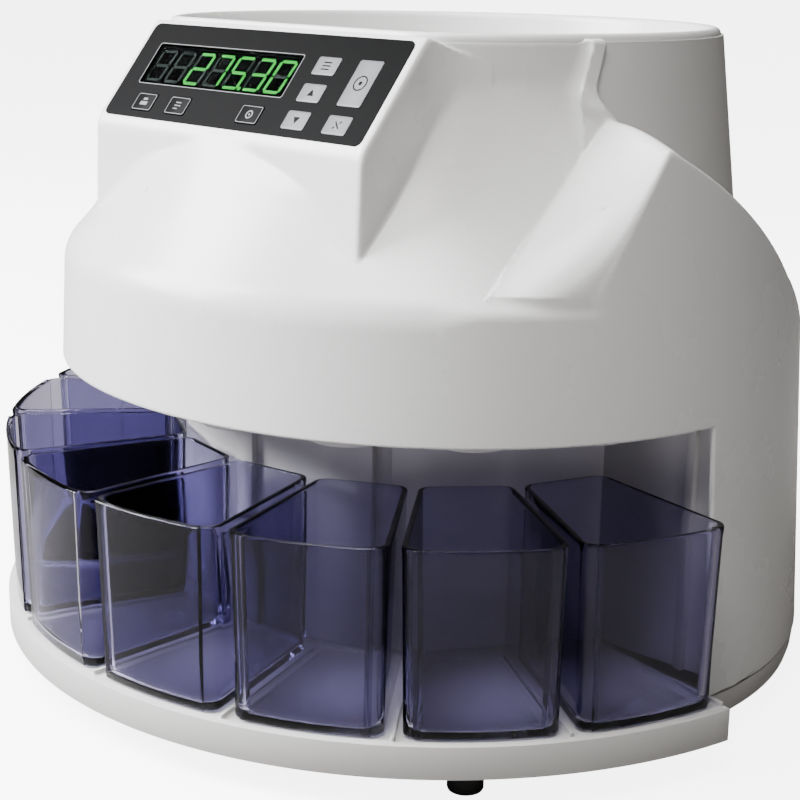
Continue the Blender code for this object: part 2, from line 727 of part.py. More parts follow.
def tower_space(name, extra, group):
    """Tapered cylinder of the hopper tower, grown by extra."""
    rings = [ellipse(tower_radius(z) + extra, tower_radius(z) + extra, 0.0, z)
             for z in (0.0, COVER_TOP_Z + OVERRUN)]
    return loft(name, rings, group)


def make_top_cover(parts, tools):
    cover = cover_form("top_cover", 0.0, parts, tools)
    cut(cover, cover_form("cover_inside", COVER_WALL, tools, tools))
    wide = BODY_HALF_WIDTH + 4 * OVERRUN
    bay = box("cover_bay", (-wide, -wide - OVERRUN, -OVERRUN), (wide, BAY_EDGE_Y, HOOD_BOTTOM_Z), tools)
    cut(cover, bay)
    tower = tower_space("cover_tower", GAP, tools)
    behind = box("cover_behind", (-wide, DECK_FRONT_Y, -OVERRUN), (wide, wide, 2 * RIM_HEIGHT), tools)
    clip(tower, behind)
    floor = deck_space("cover_tower_floor", COVER_WALL + 2 * OVERRUN, DECK_FRONT_Y - OVERRUN, tools)
    clip(tower, floor)
    cut(cover, tower)
    cut(cover, panel_box("cover_recess", (0, 0), (PANEL_WIDTH, PANEL_SLOPE_LENGTH), GAP,
                         -OVERLAY_THICKNESS - GAP, OVERRUN, tools))
    cut(cover, panel_box("cover_pocket", (0, 0), (PANEL_WIDTH, PANEL_SLOPE_LENGTH), -OVERLAY_LEDGE,
                         -2 * OVERRUN, OVERRUN, tools))
    rear = box("cover_rear", (-REAR_PANEL_HALF_WIDTH - GAP, REAR_REACH - OVERRUN, REAR_PANEL_BOTTOM_Z - GAP),
               (REAR_PANEL_HALF_WIDTH + GAP, REAR_REACH + OVERRUN, REAR_PANEL_TOP_Z + GAP), tools)
    cut(cover, rear)
    return dress(as_mesh(cover), "housing")


def make_tower_shroud(parts, tools):
    shroud = tower_space("tower_shroud", 0.0, parts)
    cut(shroud, tower_space("shroud_inside", -TOWER_WALL, tools))
    wide = BODY_HALF_WIDTH + 4 * OVERRUN
    inner_face = REAR_REACH - COVER_WALL - GAP
    behind = box("shroud_behind", (-wide, DECK_FRONT_Y + GAP, -2 * OVERRUN),
                 (wide, inner_face, COVER_TOP_Z), tools)
    clip(shroud, behind)
    above = deck_space("shroud_above", COVER_WALL + TOWER_TUCK, DECK_FRONT_Y - OVERRUN, tools)
    clip(shroud, above)
    return dress(as_mesh(shroud), "housing")


def make_hopper(parts, tools):
    """Bowl with a flat side behind the console; coins leave through the throat."""
    rim_bottom = RIM_HEIGHT - RIM_THICKNESS
    knee_z = HOPPER_KNEE_Z
    outer = [(0.0, RIM_HEIGHT), (RIM_RADIUS, RIM_HEIGHT), (RIM_RADIUS, rim_bottom),
             (HOPPER_RADIUS, rim_bottom), (HOPPER_KNEE_RADIUS, knee_z), (THROAT_RADIUS, THROAT_TOP_Z),
             (THROAT_RADIUS, THROAT_Z), (0.0, THROAT_Z)]
    inner_rim = HOPPER_RADIUS - HOPPER_WALL
    inner = [(0.0, RIM_HEIGHT + OVERRUN), (inner_rim, RIM_HEIGHT + OVERRUN), (inner_rim, RIM_HEIGHT),
             (HOPPER_KNEE_RADIUS - HOPPER_WALL, knee_z + HOPPER_WALL / 2),
             (THROAT_RADIUS - HOPPER_WALL, THROAT_TOP_Z + HOPPER_WALL),
             (THROAT_RADIUS - HOPPER_WALL, THROAT_Z - OVERRUN), (0.0, THROAT_Z - OVERRUN)]
    wide = 2 * RIM_RADIUS
    hopper = turned("hopper", outer, parts, closed=False)
    clip(hopper, box("hopper_chord", (-wide, HOPPER_CHORD_Y, -OVERRUN), (wide, wide, 2 * RIM_HEIGHT), tools))
    hollow = turned("hopper_hollow", inner, tools, closed=False)
    clip(hollow, box("hollow_chord", (-wide, HOPPER_CHORD_Y + HOPPER_WALL, -OVERRUN),
                     (wide, wide, 2 * RIM_HEIGHT), tools))
    cut(hopper, hollow)
    return dress(as_mesh(hopper), "housing")


# Console pieces

def panel_box(name, start, end, grow, low, high, group):
    """A box in the panel's own axes, from start to end on its face."""
    shape = bmesh.new()
    bmesh.ops.create_cube(shape, size=1.0)
    for vertex in shape.verts:
        u = (end[0] + grow) if vertex.co.x > 0 else (start[0] - grow)
        v = (end[1] + grow) if vertex.co.y > 0 else (start[1] - grow)
        out = high if vertex.co.z > 0 else low
        vertex.co = panel_point(u, v, out)
    return from_bmesh(name, shape, group)


def panel_rectangle(centre, size):
    start = (centre[0] - size[0] / 2, centre[1] - size[1] / 2)
    end = (centre[0] + size[0] / 2, centre[1] + size[1] / 2)
    return start, end


def make_console(parts, tools):
    overlay = panel_box("panel_overlay", (0, 0), (PANEL_WIDTH, PANEL_SLOPE_LENGTH), 0.0,
                        -OVERLAY_THICKNESS, 0.0, parts)
    window_start, window_end = panel_rectangle(WINDOW_PLACE, WINDOW_SIZE)
    cut(overlay, panel_box("overlay_window", window_start, window_end, GAP, -OVERRUN, OVERRUN, tools))
    for name, u, v, height in KEYS:
        start, end = panel_rectangle((u, v), (KEY_WIDTH, height))
        cut(overlay, panel_box("overlay_" + name, start, end, GAP, -OVERRUN, OVERRUN, tools))
        key = panel_box(name, start, end, 0.0, KEY_PROUD - KEY_THICKNESS, KEY_PROUD, parts)
        dress(key, "key_grey", smooth=False)
    dress(as_mesh(overlay), "black_gloss", smooth=False)
    window = panel_box("display_window", window_start, window_end, 0.0, -WINDOW_THICKNESS, 0.0, parts)
    dress(window, "smoke", smooth=False)
    module_top = -WINDOW_THICKNESS - GAP
    module = panel_box("display_module", window_start, window_end, -GAP,
                       module_top - MODULE_THICKNESS, module_top, parts)
    dress(module, "dark_plastic", smooth=False)
    board_top = module_top - MODULE_THICKNESS - GAP
    board = panel_box("control_board", (BOARD_SIDE_MARGIN, BOARD_TOP_MARGIN),
                      (PANEL_WIDTH - BOARD_SIDE_MARGIN, PANEL_SLOPE_LENGTH - BOARD_FOOT_MARGIN), 0.0,
                      board_top - BOARD_THICKNESS, board_top, parts)
    dress(board, "board", smooth=False)


# Base, tray and cups

def sector(inner, outer, half_angle, steps=ROUND_STEPS // 3):
    return arc(outer, -half_angle, half_angle, steps) + arc(inner, half_angle, -half_angle, steps)


def radial_box(name, angle, inner, outer, width, bottom, top, group):
    item = box(name, (-width / 2, -outer, bottom), (width / 2, -inner, top), group)
    item.data.transform(Matrix.Rotation(angle, 4, "Z"))
    return item


def make_base(parts, tools):
    inner_radius = BAY_WALL_RADIUS - TRAY_INNER_SETBACK
    tray = slab("base_tray", [sector(inner_radius, TRAY_RADIUS, TRAY_HALF_ANGLE)],
                TRAY_BOTTOM_Z, TRAY_TOP_Z, parts)
    rim = TRAY_SKIN / TRAY_RADIUS
    hollow = slab("tray_hollow", [sector(inner_radius + TRAY_SKIN, TRAY_RADIUS - TRAY_SKIN,
                                         TRAY_HALF_ANGLE - 2 * rim)],
                  TRAY_BOTTOM_Z - OVERRUN, TRAY_TOP_Z - TRAY_SKIN, tools)
    cut(tray, hollow)
    half_width, half_depth = body_axes(PAN_TOP_Z)
    inner_x, inner_y = half_width - PAN_WALL, half_depth - PAN_WALL
    pan = loft("pan", [
        ellipse(half_width - PAN_INSET, half_depth - PAN_INSET, -BODY_FORWARD, PAN_BOTTOM_Z),
        ellipse(half_width, half_depth, -BODY_FORWARD, PAN_TOP_Z)], tools)
    wide = half_width + OVERRUN
    clip(pan, box("pan_limits", (-wide, PAN_FRONT_Y, -OVERRUN), (wide, REAR_REACH, wide), tools))
    bowl = loft("pan_bowl", [
        ellipse(inner_x - PAN_INSET, inner_y - PAN_INSET, -BODY_FORWARD, PAN_BOTTOM_Z + PAN_FLOOR),
        ellipse(inner_x, inner_y, -BODY_FORWARD, PAN_TOP_Z + OVERRUN)], tools)
    clip(bowl, box("bowl_limits", (-wide, PAN_FRONT_Y + PAN_WALL, -OVERRUN),
                   (wide, REAR_REACH - PAN_WALL, wide), tools))
    cut(pan, bowl)
    join(tray, pan)
    for index in range(CUP_COUNT + 1):
        angle = cup_angle(index - 0.5)
        limit = TRAY_HALF_ANGLE - rim / 2
        angle = min(max(angle, -limit), limit)
        inner = BAY_WALL_RADIUS + RIB_INNER_SETBACK
        if index in (0, CUP_COUNT):
            inner = TRAY_RADIUS - END_RIB_LENGTH
        rib = radial_box("tray_rib_%d" % index, angle, inner, TRAY_RADIUS - RIB_OUTER_SETBACK,
                         RIB_WIDTH, TRAY_TOP_Z - TRAY_SKIN / 2, TRAY_TOP_Z + RIB_HEIGHT, tools)
        join(tray, rib)
    dress(as_mesh(tray), "housing")
    places = [polar(TRAY_RADIUS - FOOT_SETBACK, angle) for angle in (FOOT_ANGLE, -FOOT_ANGLE)]
    for index, place in enumerate(places):
        top = TRAY_TOP_Z - TRAY_SKIN - GAP
        foot = cylinder("foot_front_%d" % (index + 1), place, FOOT_RADIUS, 0.0, top, parts)
        dress(foot, "rubber")
    for index, side in enumerate((1, -1)):
        place = (side * (BODY_HALF_WIDTH - REAR_FOOT_SIDE_SETBACK), REAR_REACH - REAR_FOOT_SETBACK)
        foot = cylinder("foot_rear_%d" % (index + 1), place, FOOT_RADIUS, 0.0, PAN_BOTTOM_Z - GAP, parts)
        dress(foot, "rubber")


def rounded_outline(corners, radius, steps):
    """Polygon with each corner replaced by a short arc."""
    points = []
    count = len(corners)
    for i, corner in enumerate(corners):
        here = Vector(corner)
        before = (Vector(corners[i - 1]) - here).normalized()
        after = (Vector(corners[(i + 1) % count]) - here).normalized()
        half = before.angle(after) / 2
        reach = radius / math.tan(half)
        centre = here + (before + after).normalized() * radius / math.sin(half)
        start = here + before * reach - centre
        end = here + after * reach - centre
        turn = start.angle_signed(end)
        for k in range(steps + 1):
            offset = start.copy()
            offset.rotate(Matrix.Rotation(-turn * k / steps, 2))
            points.append(tuple(centre + offset))
    return points


def cup_ring(z, inset, corner):
    """Plan outline of a cup that points to the front, at one height."""
    outer = CUP_OUTER_RADIUS - inset
    inner = CUP_INNER_RADIUS + inset
    outer_side = outer * math.sin(CUP_OUTER_HALF_ANGLE) - inset
    inner_side = inner * math.sin(CUP_INNER_HALF_ANGLE) - inset
    bow = outer - outer * math.cos(CUP_OUTER_HALF_ANGLE)
    front = [(outer_side * (2 * i / CUP_ARC_STEPS - 1.0),
              -outer + bow * (2 * i / CUP_ARC_STEPS - 1.0) ** 2) for i in range(CUP_ARC_STEPS + 1)]
    back_y = -inner * math.cos(CUP_INNER_HALF_ANGLE)
    corners = [front[-1], (inner_side, back_y), (-inner_side, back_y), front[0]]
    rounded = rounded_outline(corners, corner, CUP_CORNER_STEPS)
    middle = [(x, y) for x, y in front[1:-1]]
    return [(x, y, z) for x, y in rounded + middle]


def make_cups(parts, tools):
    cup = loft("cup", [cup_ring(CUP_BOTTOM_Z, CUP_TAPER, CUP_CORNER),
                       cup_ring(CUP_TOP_Z, 0.0, CUP_CORNER)], tools)
    corner = CUP_CORNER - CUP_WALL
    hollow = loft("cup_hollow", [
        cup_ring(CUP_BOTTOM_Z + CUP_WALL, CUP_TAPER + CUP_WALL, corner),
        cup_ring(CUP_TOP_Z, CUP_WALL, corner),
        cup_ring(CUP_TOP_Z + OVERRUN, CUP_WALL, corner)], tools)
    cut(cup, hollow)
    cup = as_mesh(cup)
    for index in range(CUP_COUNT):
        copy = add_object("cup_%d" % (index + 1), cup.data.copy(), parts)
        copy.rotation_euler.z = cup_angle(index)
        dress(copy, "cup")
    bpy.data.objects.remove(cup, do_unlink=True)


def thick_line(points, thickness):
    """Outline of an open line given a thickness on its left side, with mitred corners."""
    points = [Vector(point) for point in points]
    steps = [(after - here).normalized() for here, after in zip(points, points[1:])]
    normals = [Vector((-step.y, step.x)) for step in steps]
    back = []
    for i, point in enumerate(points):
        before = normals[max(i - 1, 0)]
        after = normals[min(i, len(normals) - 1)]
        back.append(point + (before + after) * thickness / (1.0 + before.dot(after)))
    return [tuple(point) for point in points + list(reversed(back))]


def bay_outline(z):
    """Centre rib, recessed panels and end walls, as a plan outline at one height."""
    deep = BAY_WALL_RADIUS - BAY_RIB_DEPTH
    half_width, half_depth = body_axes(z)
    end_y = BAY_EDGE_Y + BAY_END_SETBACK
    reach = math.sqrt(1.0 - ((end_y + BODY_FORWARD) / (half_depth - COVER_WALL)) ** 2)
    end_x = (half_width - COVER_WALL) * reach - 2 * GAP
    half = [polar(BAY_WALL_RADIUS, BAY_RIB_HALF_ANGLE), polar(deep, BAY_RIB_HALF_ANGLE),
            polar(BAY_WALL_RADIUS, FACET_BREAK_ANGLE),
            polar(BAY_WALL_RADIUS - FACET_RECESS, FACET_BREAK_ANGLE),
            polar(BAY_WALL_RADIUS - FACET_RECESS, FACET_START_ANGLE),
            polar(BAY_WALL_RADIUS, FACET_START_ANGLE), polar(BAY_WALL_RADIUS, FACET_END_ANGLE),
            (end_x, end_y)]
    line = [(-x, y) for x, y in reversed(half)] + half
    return [(x, y, z) for x, y in thick_line(line, BAY_WALL_THICKNESS)]


def make_bay_wall(parts):
    wall = loft("bay_wall", [bay_outline(TRAY_TOP_Z + GAP), bay_outline(PLATE_BOTTOM_Z - GAP)], parts)
    return dress(wall, "housing", smooth=False)


# Sorting deck and drive

def deck_outline(front_radius, rear_radius):
    """Plan outline with a wide arc over the cups and a narrow one inside the tower."""
    half = PLATE_FRONT_HALF_ANGLE
    front = arc(front_radius, -half, half, ROUND_STEPS // 3)
    rear = arc(rear_radius, half, FULL_TURN - half, ROUND_STEPS // 3)
    return front + rear


def rear_deck_radius():
    """How far the deck reaches inside the tower, at the level of its track."""
    return tower_radius(TRACK_Z) - TOWER_WALL - REAR_CLEARANCE


def disc_radius():
    return rear_deck_radius() - TRACK_WIDTH


def make_sorting_deck(parts):
    rear_radius = rear_deck_radius()
    holes = [circle(polar(CHUTE_PLACE_RADIUS, cup_angle(i)), CHUTE_BORE) for i in range(CUP_COUNT)]
    holes.append(circle((0.0, 0.0), BEARING_RADIUS + GAP))
    plate = slab("sorting_plate", [deck_outline(PLATE_FRONT_RADIUS, rear_radius)] + holes,
                 PLATE_BOTTOM_Z, PLATE_TOP_Z, parts)
    dress(plate, "steel", smooth=False)
    for index in range(CUP_COUNT):
        x, y = polar(CHUTE_PLACE_RADIUS, cup_angle(index))
        top = PLATE_BOTTOM_Z - GAP
        sleeve = turned("chute_sleeve_%d" % (index + 1),
                        [(CHUTE_RADIUS, top), (CHUTE_RADIUS, CHUTE_BOTTOM_Z), (CHUTE_BORE, CHUTE_BOTTOM_Z),
                         (CHUTE_BORE, top)], parts, steps=BORE_STEPS)
        sleeve.location = (x, y, 0.0)
        dress(sleeve, "housing")
    slots = []
    for index in range(CUP_COUNT):
        width = SLOT_WIDTH_FIRST + SLOT_WIDTH_STEP * index
        slots.append(radial_rectangle(CHUTE_PLACE_RADIUS, cup_angle(index), width, SLOT_DEPTH))
    bore = circle((0.0, 0.0), disc_radius() + 2 * GAP, ROUND_STEPS)
    front_radius = PLATE_FRONT_RADIUS - 2 * RING_SETBACK
    ring = slab("coin_ring", [deck_outline(front_radius, rear_radius - RING_SETBACK), bore] + slots,
                PLATE_TOP_Z + GAP, TRACK_Z, parts)
    dress(ring, "steel", smooth=False)
    fence = slab("coin_fence", [sector(front_radius - FENCE_THICKNESS, front_radius, PLATE_FRONT_HALF_ANGLE)],
                 TRACK_Z + GAP, TRACK_Z + FENCE_HEIGHT, parts)
    dress(fence, "steel")
    guide_radius = disc_radius() + GUIDE_SETBACK
    blade = arc(guide_radius + GUIDE_THICKNESS, GUIDE_START_ANGLE, GUIDE_END_ANGLE, BORE_STEPS // 3)
    blade += arc(guide_radius, GUIDE_END_ANGLE, GUIDE_START_ANGLE, BORE_STEPS // 3)
    dress(slab("coin_guide", [blade], TRACK_Z + GAP, TRACK_Z + GUIDE_HEIGHT, parts), "steel")


def make_rotor(parts):
    radius = disc_radius()
    disc = turned("feed_disc", [(0.0, DISC_TOP_Z), (radius, DISC_TOP_Z), (radius, DISC_BOTTOM_Z),
                                (0.0, DISC_BOTTOM_Z)], parts, closed=False)
    dress(disc, "rubber")
    hub_bottom = DISC_TOP_Z + GAP
    hub = turned("disc_hub", [
        (0.0, hub_bottom + DISC_HUB_HEIGHT), (DISC_HUB_RADIUS / 3, hub_bottom + DISC_HUB_HEIGHT),
        (DISC_HUB_RADIUS, hub_bottom + DISC_HUB_HEIGHT / 3), (DISC_HUB_RADIUS, hub_bottom),
        (0.0, hub_bottom)], parts, steps=BORE_STEPS, closed=False)
    dress(hub, "dark_plastic")
    shaft = cylinder("main_shaft", (0, 0), SHAFT_RADIUS, PULLEY_BOTTOM_Z - SHAFT_RADIUS / 2,
                     DISC_BOTTOM_Z - GAP, parts)
    dress(shaft, "steel")
    flange_top = DISC_BOTTOM_Z - GAP
    flange_bottom = PLATE_TOP_Z + GAP
    bore = SHAFT_RADIUS + RUNNING_GAP
    bearing = turned("shaft_bearing", [
        (BEARING_RADIUS + BEARING_FLANGE, flange_top), (BEARING_RADIUS + BEARING_FLANGE, flange_bottom),
        (BEARING_RADIUS, flange_bottom), (BEARING_RADIUS, PLATE_TOP_Z - BEARING_LENGTH),
        (bore, PLATE_TOP_Z - BEARING_LENGTH), (bore, flange_top)], parts, steps=BORE_STEPS)
    dress(bearing, "brass")
    pulley_top = PULLEY_BOTTOM_Z + PULLEY_HEIGHT
    for name, radius, hole, place in (
            ("drive_pulley", PULLEY_RADIUS, SHAFT_RADIUS + RUNNING_GAP, 0.0),
            ("motor_pulley", MOTOR_PULLEY_RADIUS, MOTOR_SHAFT_RADIUS + RUNNING_GAP, MOTOR_Y)):
        pulley = turned(name, [(radius, pulley_top), (radius, PULLEY_BOTTOM_Z), (hole, PULLEY_BOTTOM_Z),
                               (hole, pulley_top)], parts, steps=2 * BORE_STEPS)
        pulley.location.y = place
        dress(pulley, "dark_plastic")


def belt_outline(grow):
    """Racetrack round both pulleys, as an outline in plan."""
    large = PULLEY_RADIUS + grow
    small = MOTOR_PULLEY_RADIUS + grow
    lean = math.asin((large - small) / MOTOR_Y)
    start = math.pi - lean
    front = [(large * math.sin(a), -large * math.cos(a))
             for a in (-math.pi / 2 - lean + (math.pi + 2 * lean) * i / 24 for i in range(25))]
    rear = [(small * math.sin(a), MOTOR_Y - small * math.cos(a))
            for a in (math.pi / 2 + lean + (start - lean) * i / 12 for i in range(13))]
    return front + rear


def make_drive(parts, tools):
    middle = PULLEY_BOTTOM_Z + PULLEY_HEIGHT / 2
    belt = slab("drive_belt", [belt_outline(GAP + BELT_THICKNESS), belt_outline(GAP)],
                middle - BELT_HEIGHT / 2, middle + BELT_HEIGHT / 2, parts)
    dress(belt, "rubber")
    motor = cylinder("motor", (0, MOTOR_Y), MOTOR_RADIUS, MOTOR_TOP_Z - MOTOR_LENGTH, MOTOR_TOP_Z, parts,
                     steps=2 * BORE_STEPS)
    dress(motor, "steel")
    spindle = cylinder("motor_shaft", (0, MOTOR_Y), MOTOR_SHAFT_RADIUS, MOTOR_TOP_Z + GAP,
                       PULLEY_BOTTOM_Z + PULLEY_HEIGHT, parts)
    dress(spindle, "steel")
    plate_bottom = MOTOR_TOP_Z + GAP
    plate_top = plate_bottom + BRACKET_THICKNESS
    front = MOTOR_Y - BRACKET_DEPTH / 2
    rear = MOTOR_Y + BRACKET_DEPTH / 2
    bracket = box("motor_bracket", (-BRACKET_HALF_WIDTH, front, plate_bottom),
                  (BRACKET_HALF_WIDTH, rear, plate_top), parts)
    for side, word in ((-1, "left"), (1, "right")):
        xs = sorted((side * BRACKET_HALF_WIDTH, side * (BRACKET_HALF_WIDTH - BRACKET_THICKNESS)))
        join(bracket, box("bracket_leg_" + word, (xs[0], front, plate_bottom),
                          (xs[1], rear, PLATE_BOTTOM_Z - GAP), tools))
    cut(bracket, cylinder("bracket_hole", (0, MOTOR_Y), 2 * MOTOR_SHAFT_RADIUS, plate_bottom - OVERRUN,
                          plate_top + OVERRUN / 2, tools))
    dress(as_mesh(bracket), "steel", smooth=False)
    holes = [circle(polar(CHUTE_PLACE_RADIUS, cup_angle(i)), CHUTE_RADIUS + GAP) for i in range(CUP_COUNT)]
    reach = CHUTE_RADIUS + SENSOR_BOARD_MARGIN
    outline = sector(CHUTE_PLACE_RADIUS - reach, CHUTE_PLACE_RADIUS + reach, SENSOR_BOARD_HALF_ANGLE)
    level = PLATE_BOTTOM_Z - SENSOR_BOARD_DROP
    board = slab("sensor_board", [outline] + holes, level, level + SENSOR_BOARD_THICKNESS, parts)
    dress(board, "board", smooth=False)
    floor = PAN_BOTTOM_Z + PAN_FLOOR + GAP
    post_circle = rear_deck_radius() - POST_SETBACK
    for name, place in (("post_right", polar(post_circle, POST_ANGLE)),
                        ("post_left", polar(post_circle, -POST_ANGLE)),
                        ("post_rear", (0.0, rear_deck_radius() - 2 * POST_RADIUS))):
        dress(cylinder(name, place, POST_RADIUS, floor, PLATE_BOTTOM_Z - GAP, parts), "steel")


# Rear electrics

def socket(name, centre_x, width, height, depth, wall, parts, tools):
    """Box socket in the rear panel, open to the back."""
    low_z = ELECTRICS_Z - height / 2
    high_z = ELECTRICS_Z + height / 2
    half = width / 2
    front = REAR_REACH - depth
    item = box(name, (centre_x - half, front, low_z), (centre_x + half, REAR_REACH, high_z), parts)
    cut(item, box(name + "_mouth", (centre_x - half + wall, front + wall, low_z + wall),
                  (centre_x + half - wall, REAR_REACH + OVERRUN, high_z - wall), tools))
    return item


def make_electrics(parts, tools):
    front = REAR_REACH - REAR_PANEL_THICKNESS
    panel = box("rear_panel", (-REAR_PANEL_HALF_WIDTH, front, REAR_PANEL_BOTTOM_Z),
                (REAR_PANEL_HALF_WIDTH, REAR_REACH, REAR_PANEL_TOP_Z), parts)
    cutouts = (("inlet", INLET_X, INLET_WIDTH + 2 * GAP, INLET_HEIGHT + 2 * GAP),
               ("switch", SWITCH_X, SWITCH_WIDTH + 2 * GAP, SWITCH_HEIGHT + 2 * SWITCH_PLAY),
               ("port", PORT_X, PORT_WIDTH + 2 * GAP, PORT_HEIGHT + 2 * GAP))
    for word, x, width, height in cutouts:
        cut(panel, box("cutout_" + word, (x - width / 2, front - OVERRUN, ELECTRICS_Z - height / 2),
                       (x + width / 2, REAR_REACH + OVERRUN, ELECTRICS_Z + height / 2), tools))
    dress(as_mesh(panel), "housing", smooth=False)
    inlet = socket("power_inlet", INLET_X, INLET_WIDTH, INLET_HEIGHT, INLET_DEPTH, INLET_WALL, parts, tools)
    dress(as_mesh(inlet), "dark_plastic", smooth=False)
    port = socket("data_port", PORT_X, PORT_WIDTH, PORT_HEIGHT, PORT_DEPTH, PORT_WALL, parts, tools)
    dress(as_mesh(port), "dark_plastic", smooth=False)
    half = SWITCH_HEIGHT / 2
    outline = [(REAR_REACH - SWITCH_DEPTH, -half / 2), (REAR_REACH - SWITCH_DEPTH, half / 2),
               (REAR_REACH + SWITCH_PROUD / 2, half), (REAR_REACH + SWITCH_PROUD, half - SWITCH_PROUD),
               (REAR_REACH, 0.0), (REAR_REACH + SWITCH_PROUD, SWITCH_PROUD - half),
               (REAR_REACH + SWITCH_PROUD / 2, -half)]
    rings = [[(x, y - REAR_REACH, z) for y, z in outline] for x in (-SWITCH_WIDTH / 2, SWITCH_WIDTH / 2)]
    rocker = loft("power_switch", rings, parts)
    rocker.location = (SWITCH_X, REAR_REACH - 2 * SWITCH_PROUD, ELECTRICS_Z)
    rocker.rotation_euler.x = SWITCH_TILT
    dress(rocker, "dark_plastic", smooth=False)
    floor = PAN_BOTTOM_Z + PAN_FLOOR + GAP
    top = floor + BOARD_THICKNESS
    middle = REAR_REACH - SUPPLY_SETBACK
    board = box("supply_board", (SUPPLY_X - SUPPLY_WIDTH / 2, middle - SUPPLY_DEPTH / 2, floor),
                (SUPPLY_X + SUPPLY_WIDTH / 2, middle + SUPPLY_DEPTH / 2, top), parts)
    left = SUPPLY_X - SUPPLY_WIDTH / 2 + OVERRUN
    low = middle - SUPPLY_BLOCK_DEPTH / 2
    join(board, box("supply_block", (left, low, floor + BOARD_THICKNESS / 2),
                    (left + SUPPLY_BLOCK_WIDTH, low + SUPPLY_BLOCK_DEPTH, top + SUPPLY_BLOCK_HEIGHT), tools))
    dress(as_mesh(board), "board", smooth=False)


def build():
    clear_scene()
    parts = new_group("coin_sorting_machine")
    tools = new_group("cutters")
    make_top_cover(parts, tools)
    make_tower_shroud(parts, tools)
    make_hopper(parts, tools)
    make_console(parts, tools)
    make_base(parts, tools)
    make_cups(parts, tools)
    make_bay_wall(parts)
    make_sorting_deck(parts)
    make_rotor(parts)
    make_drive(parts, tools)
    make_electrics(parts, tools)
    for tool in list(tools.objects):
        bpy.data.objects.remove(tool, do_unlink=True)
    origin = bpy.data.objects.new("machine_origin", None)
    parts.objects.link(origin)
    origin.location = (0.0, AXIS_Y, 0.0)
    for item in parts.objects:
        if item is not origin:
            item.parent = origin


build()
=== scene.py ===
"""Looks of the coin sorting machine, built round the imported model."""
import math

import bmesh
import bpy
import numpy as np
import openvdb
from mathutils import Matrix, Vector


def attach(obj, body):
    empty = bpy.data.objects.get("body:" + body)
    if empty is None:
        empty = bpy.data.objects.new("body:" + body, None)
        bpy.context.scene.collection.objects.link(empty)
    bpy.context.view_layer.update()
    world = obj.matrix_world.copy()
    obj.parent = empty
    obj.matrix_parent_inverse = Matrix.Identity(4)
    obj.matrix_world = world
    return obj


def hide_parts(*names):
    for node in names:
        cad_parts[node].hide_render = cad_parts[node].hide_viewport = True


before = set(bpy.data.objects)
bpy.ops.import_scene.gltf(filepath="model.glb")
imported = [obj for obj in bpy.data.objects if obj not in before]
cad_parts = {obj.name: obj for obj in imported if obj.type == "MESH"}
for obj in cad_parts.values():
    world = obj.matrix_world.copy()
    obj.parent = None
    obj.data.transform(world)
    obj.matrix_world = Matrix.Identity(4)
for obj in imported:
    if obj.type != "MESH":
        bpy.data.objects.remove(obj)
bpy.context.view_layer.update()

# Sizes in mm, with the sorting axis at x = 0, y = 0
AXIS_Y = 25.0
TOP_Z = 261.7
COVER_TOP_Z = 263.2
CREASE_Z = 173.0
BAY_TOP_Z = 125.5
BAY_EDGE_Y = -22.0
REAR_Y = 140.0
WALL = 2.5
CONSOLE_WALL = 3.2

# Body: an oval that grows downwards
BODY_HALF_WIDTH = 161.3
BODY_HALF_DEPTH = 151.3
BODY_CENTRE_Y = -7.5
BODY_DRAFT = 0.053

# Front slope, from a circle at the rim to the body's oval at the crease
FLARE_TOP_Z = 250.0
FLARE_TOP_RADIUS = 115.5
FLARE_SPREAD = (45.8, 35.8)
FLARE_REACH = 1.3
FLARE_POWER = 1.6

# Tower and the seam in front of it
TOWER_TOP_RADIUS = 116.6
TOWER_SLOPE = 0.1227
SEAM_Y = -32.4
SEAM_SLOPE = 0.33
SEAM_TOP_Z = 262.0
SEAM_DROP = 18.0
RIM_LIP = 1.3
RIM_LIP_WIDTH = 6.0
RIM_LIP_FOOT_Z = 205.0
RIM_LIP_START_X = 60.0

# Deck round the tower's foot, and the shoulder in front of it
DECK_EDGE_Y = -44.9
DECK_EDGE_Z = 228.7
DECK_FALL = 0.5
DECK_CURVE = 450.0
DECK_TURN_Y = 60.1
DECK_REAR_FALL = 0.8
DECK_CROWN = 13.0
DECK_CROWN_X = 112.0
DECK_CROWN_SPAN = 42.0
SHOULDER_TOP_Z = 236.5
SHOULDER_FOOT_Z = 174.5
SHOULDER_CREASE_X = 113.5
SHOULDER_CREASE_SPREAD = 7.9
SHOULDER_EDGE_DROP = 49.9
SHOULDER_EDGE_RUN = 29.2
SHOULDER_BOW = 10.0

# Console, its panel and the hopper's flat side
CHORD_Y = -90.2
PANEL_TILT = math.radians(51.3)
PANEL_SIZE = (151.7, 45.2)
PANEL_ORIGIN = (-PANEL_SIZE[0] / 2, -93.0, 262.9)
PANEL_BORDER = 2.9
CONSOLE_HALF = 79.5
CONSOLE_FLARE = 7.0
CONSOLE_FLARE_START_Y = -95.0
CONSOLE_FLARE_RUN = 18.5

# Cups and tray, with angles from the front
CUP_PITCH = math.radians(19.77)
CUPS = 8
CUP_OUTER = 187.8
CUP_INNER = 116.0
CUP_OUTER_HALF = math.radians(9.24)
CUP_INNER_HALF = math.radians(8.85)
CUP_LOW = 25.1
CUP_HIGH = 96.5
CUP_WALL = 2.0
CUP_TAPER = 1.2
CHUTE_PLACE = 134.0
TRAY_HALF_ANGLE = math.radians(79.4)
TRAY_OUTER = 190.0
TRAY_INNER = 70.0
TRAY_WALL = 2.6
TRAY_WALL_ANGLE = 0.0274
RIB_ANGLE = 0.00684
PAN_FRONT_Y = -100.0


def cup_angle(index):
    return ((CUPS - 1) / 2 - index) * CUP_PITCH


def polar(radius, angle):
    return radius * math.sin(angle), -radius * math.cos(angle)


# Mesh helpers

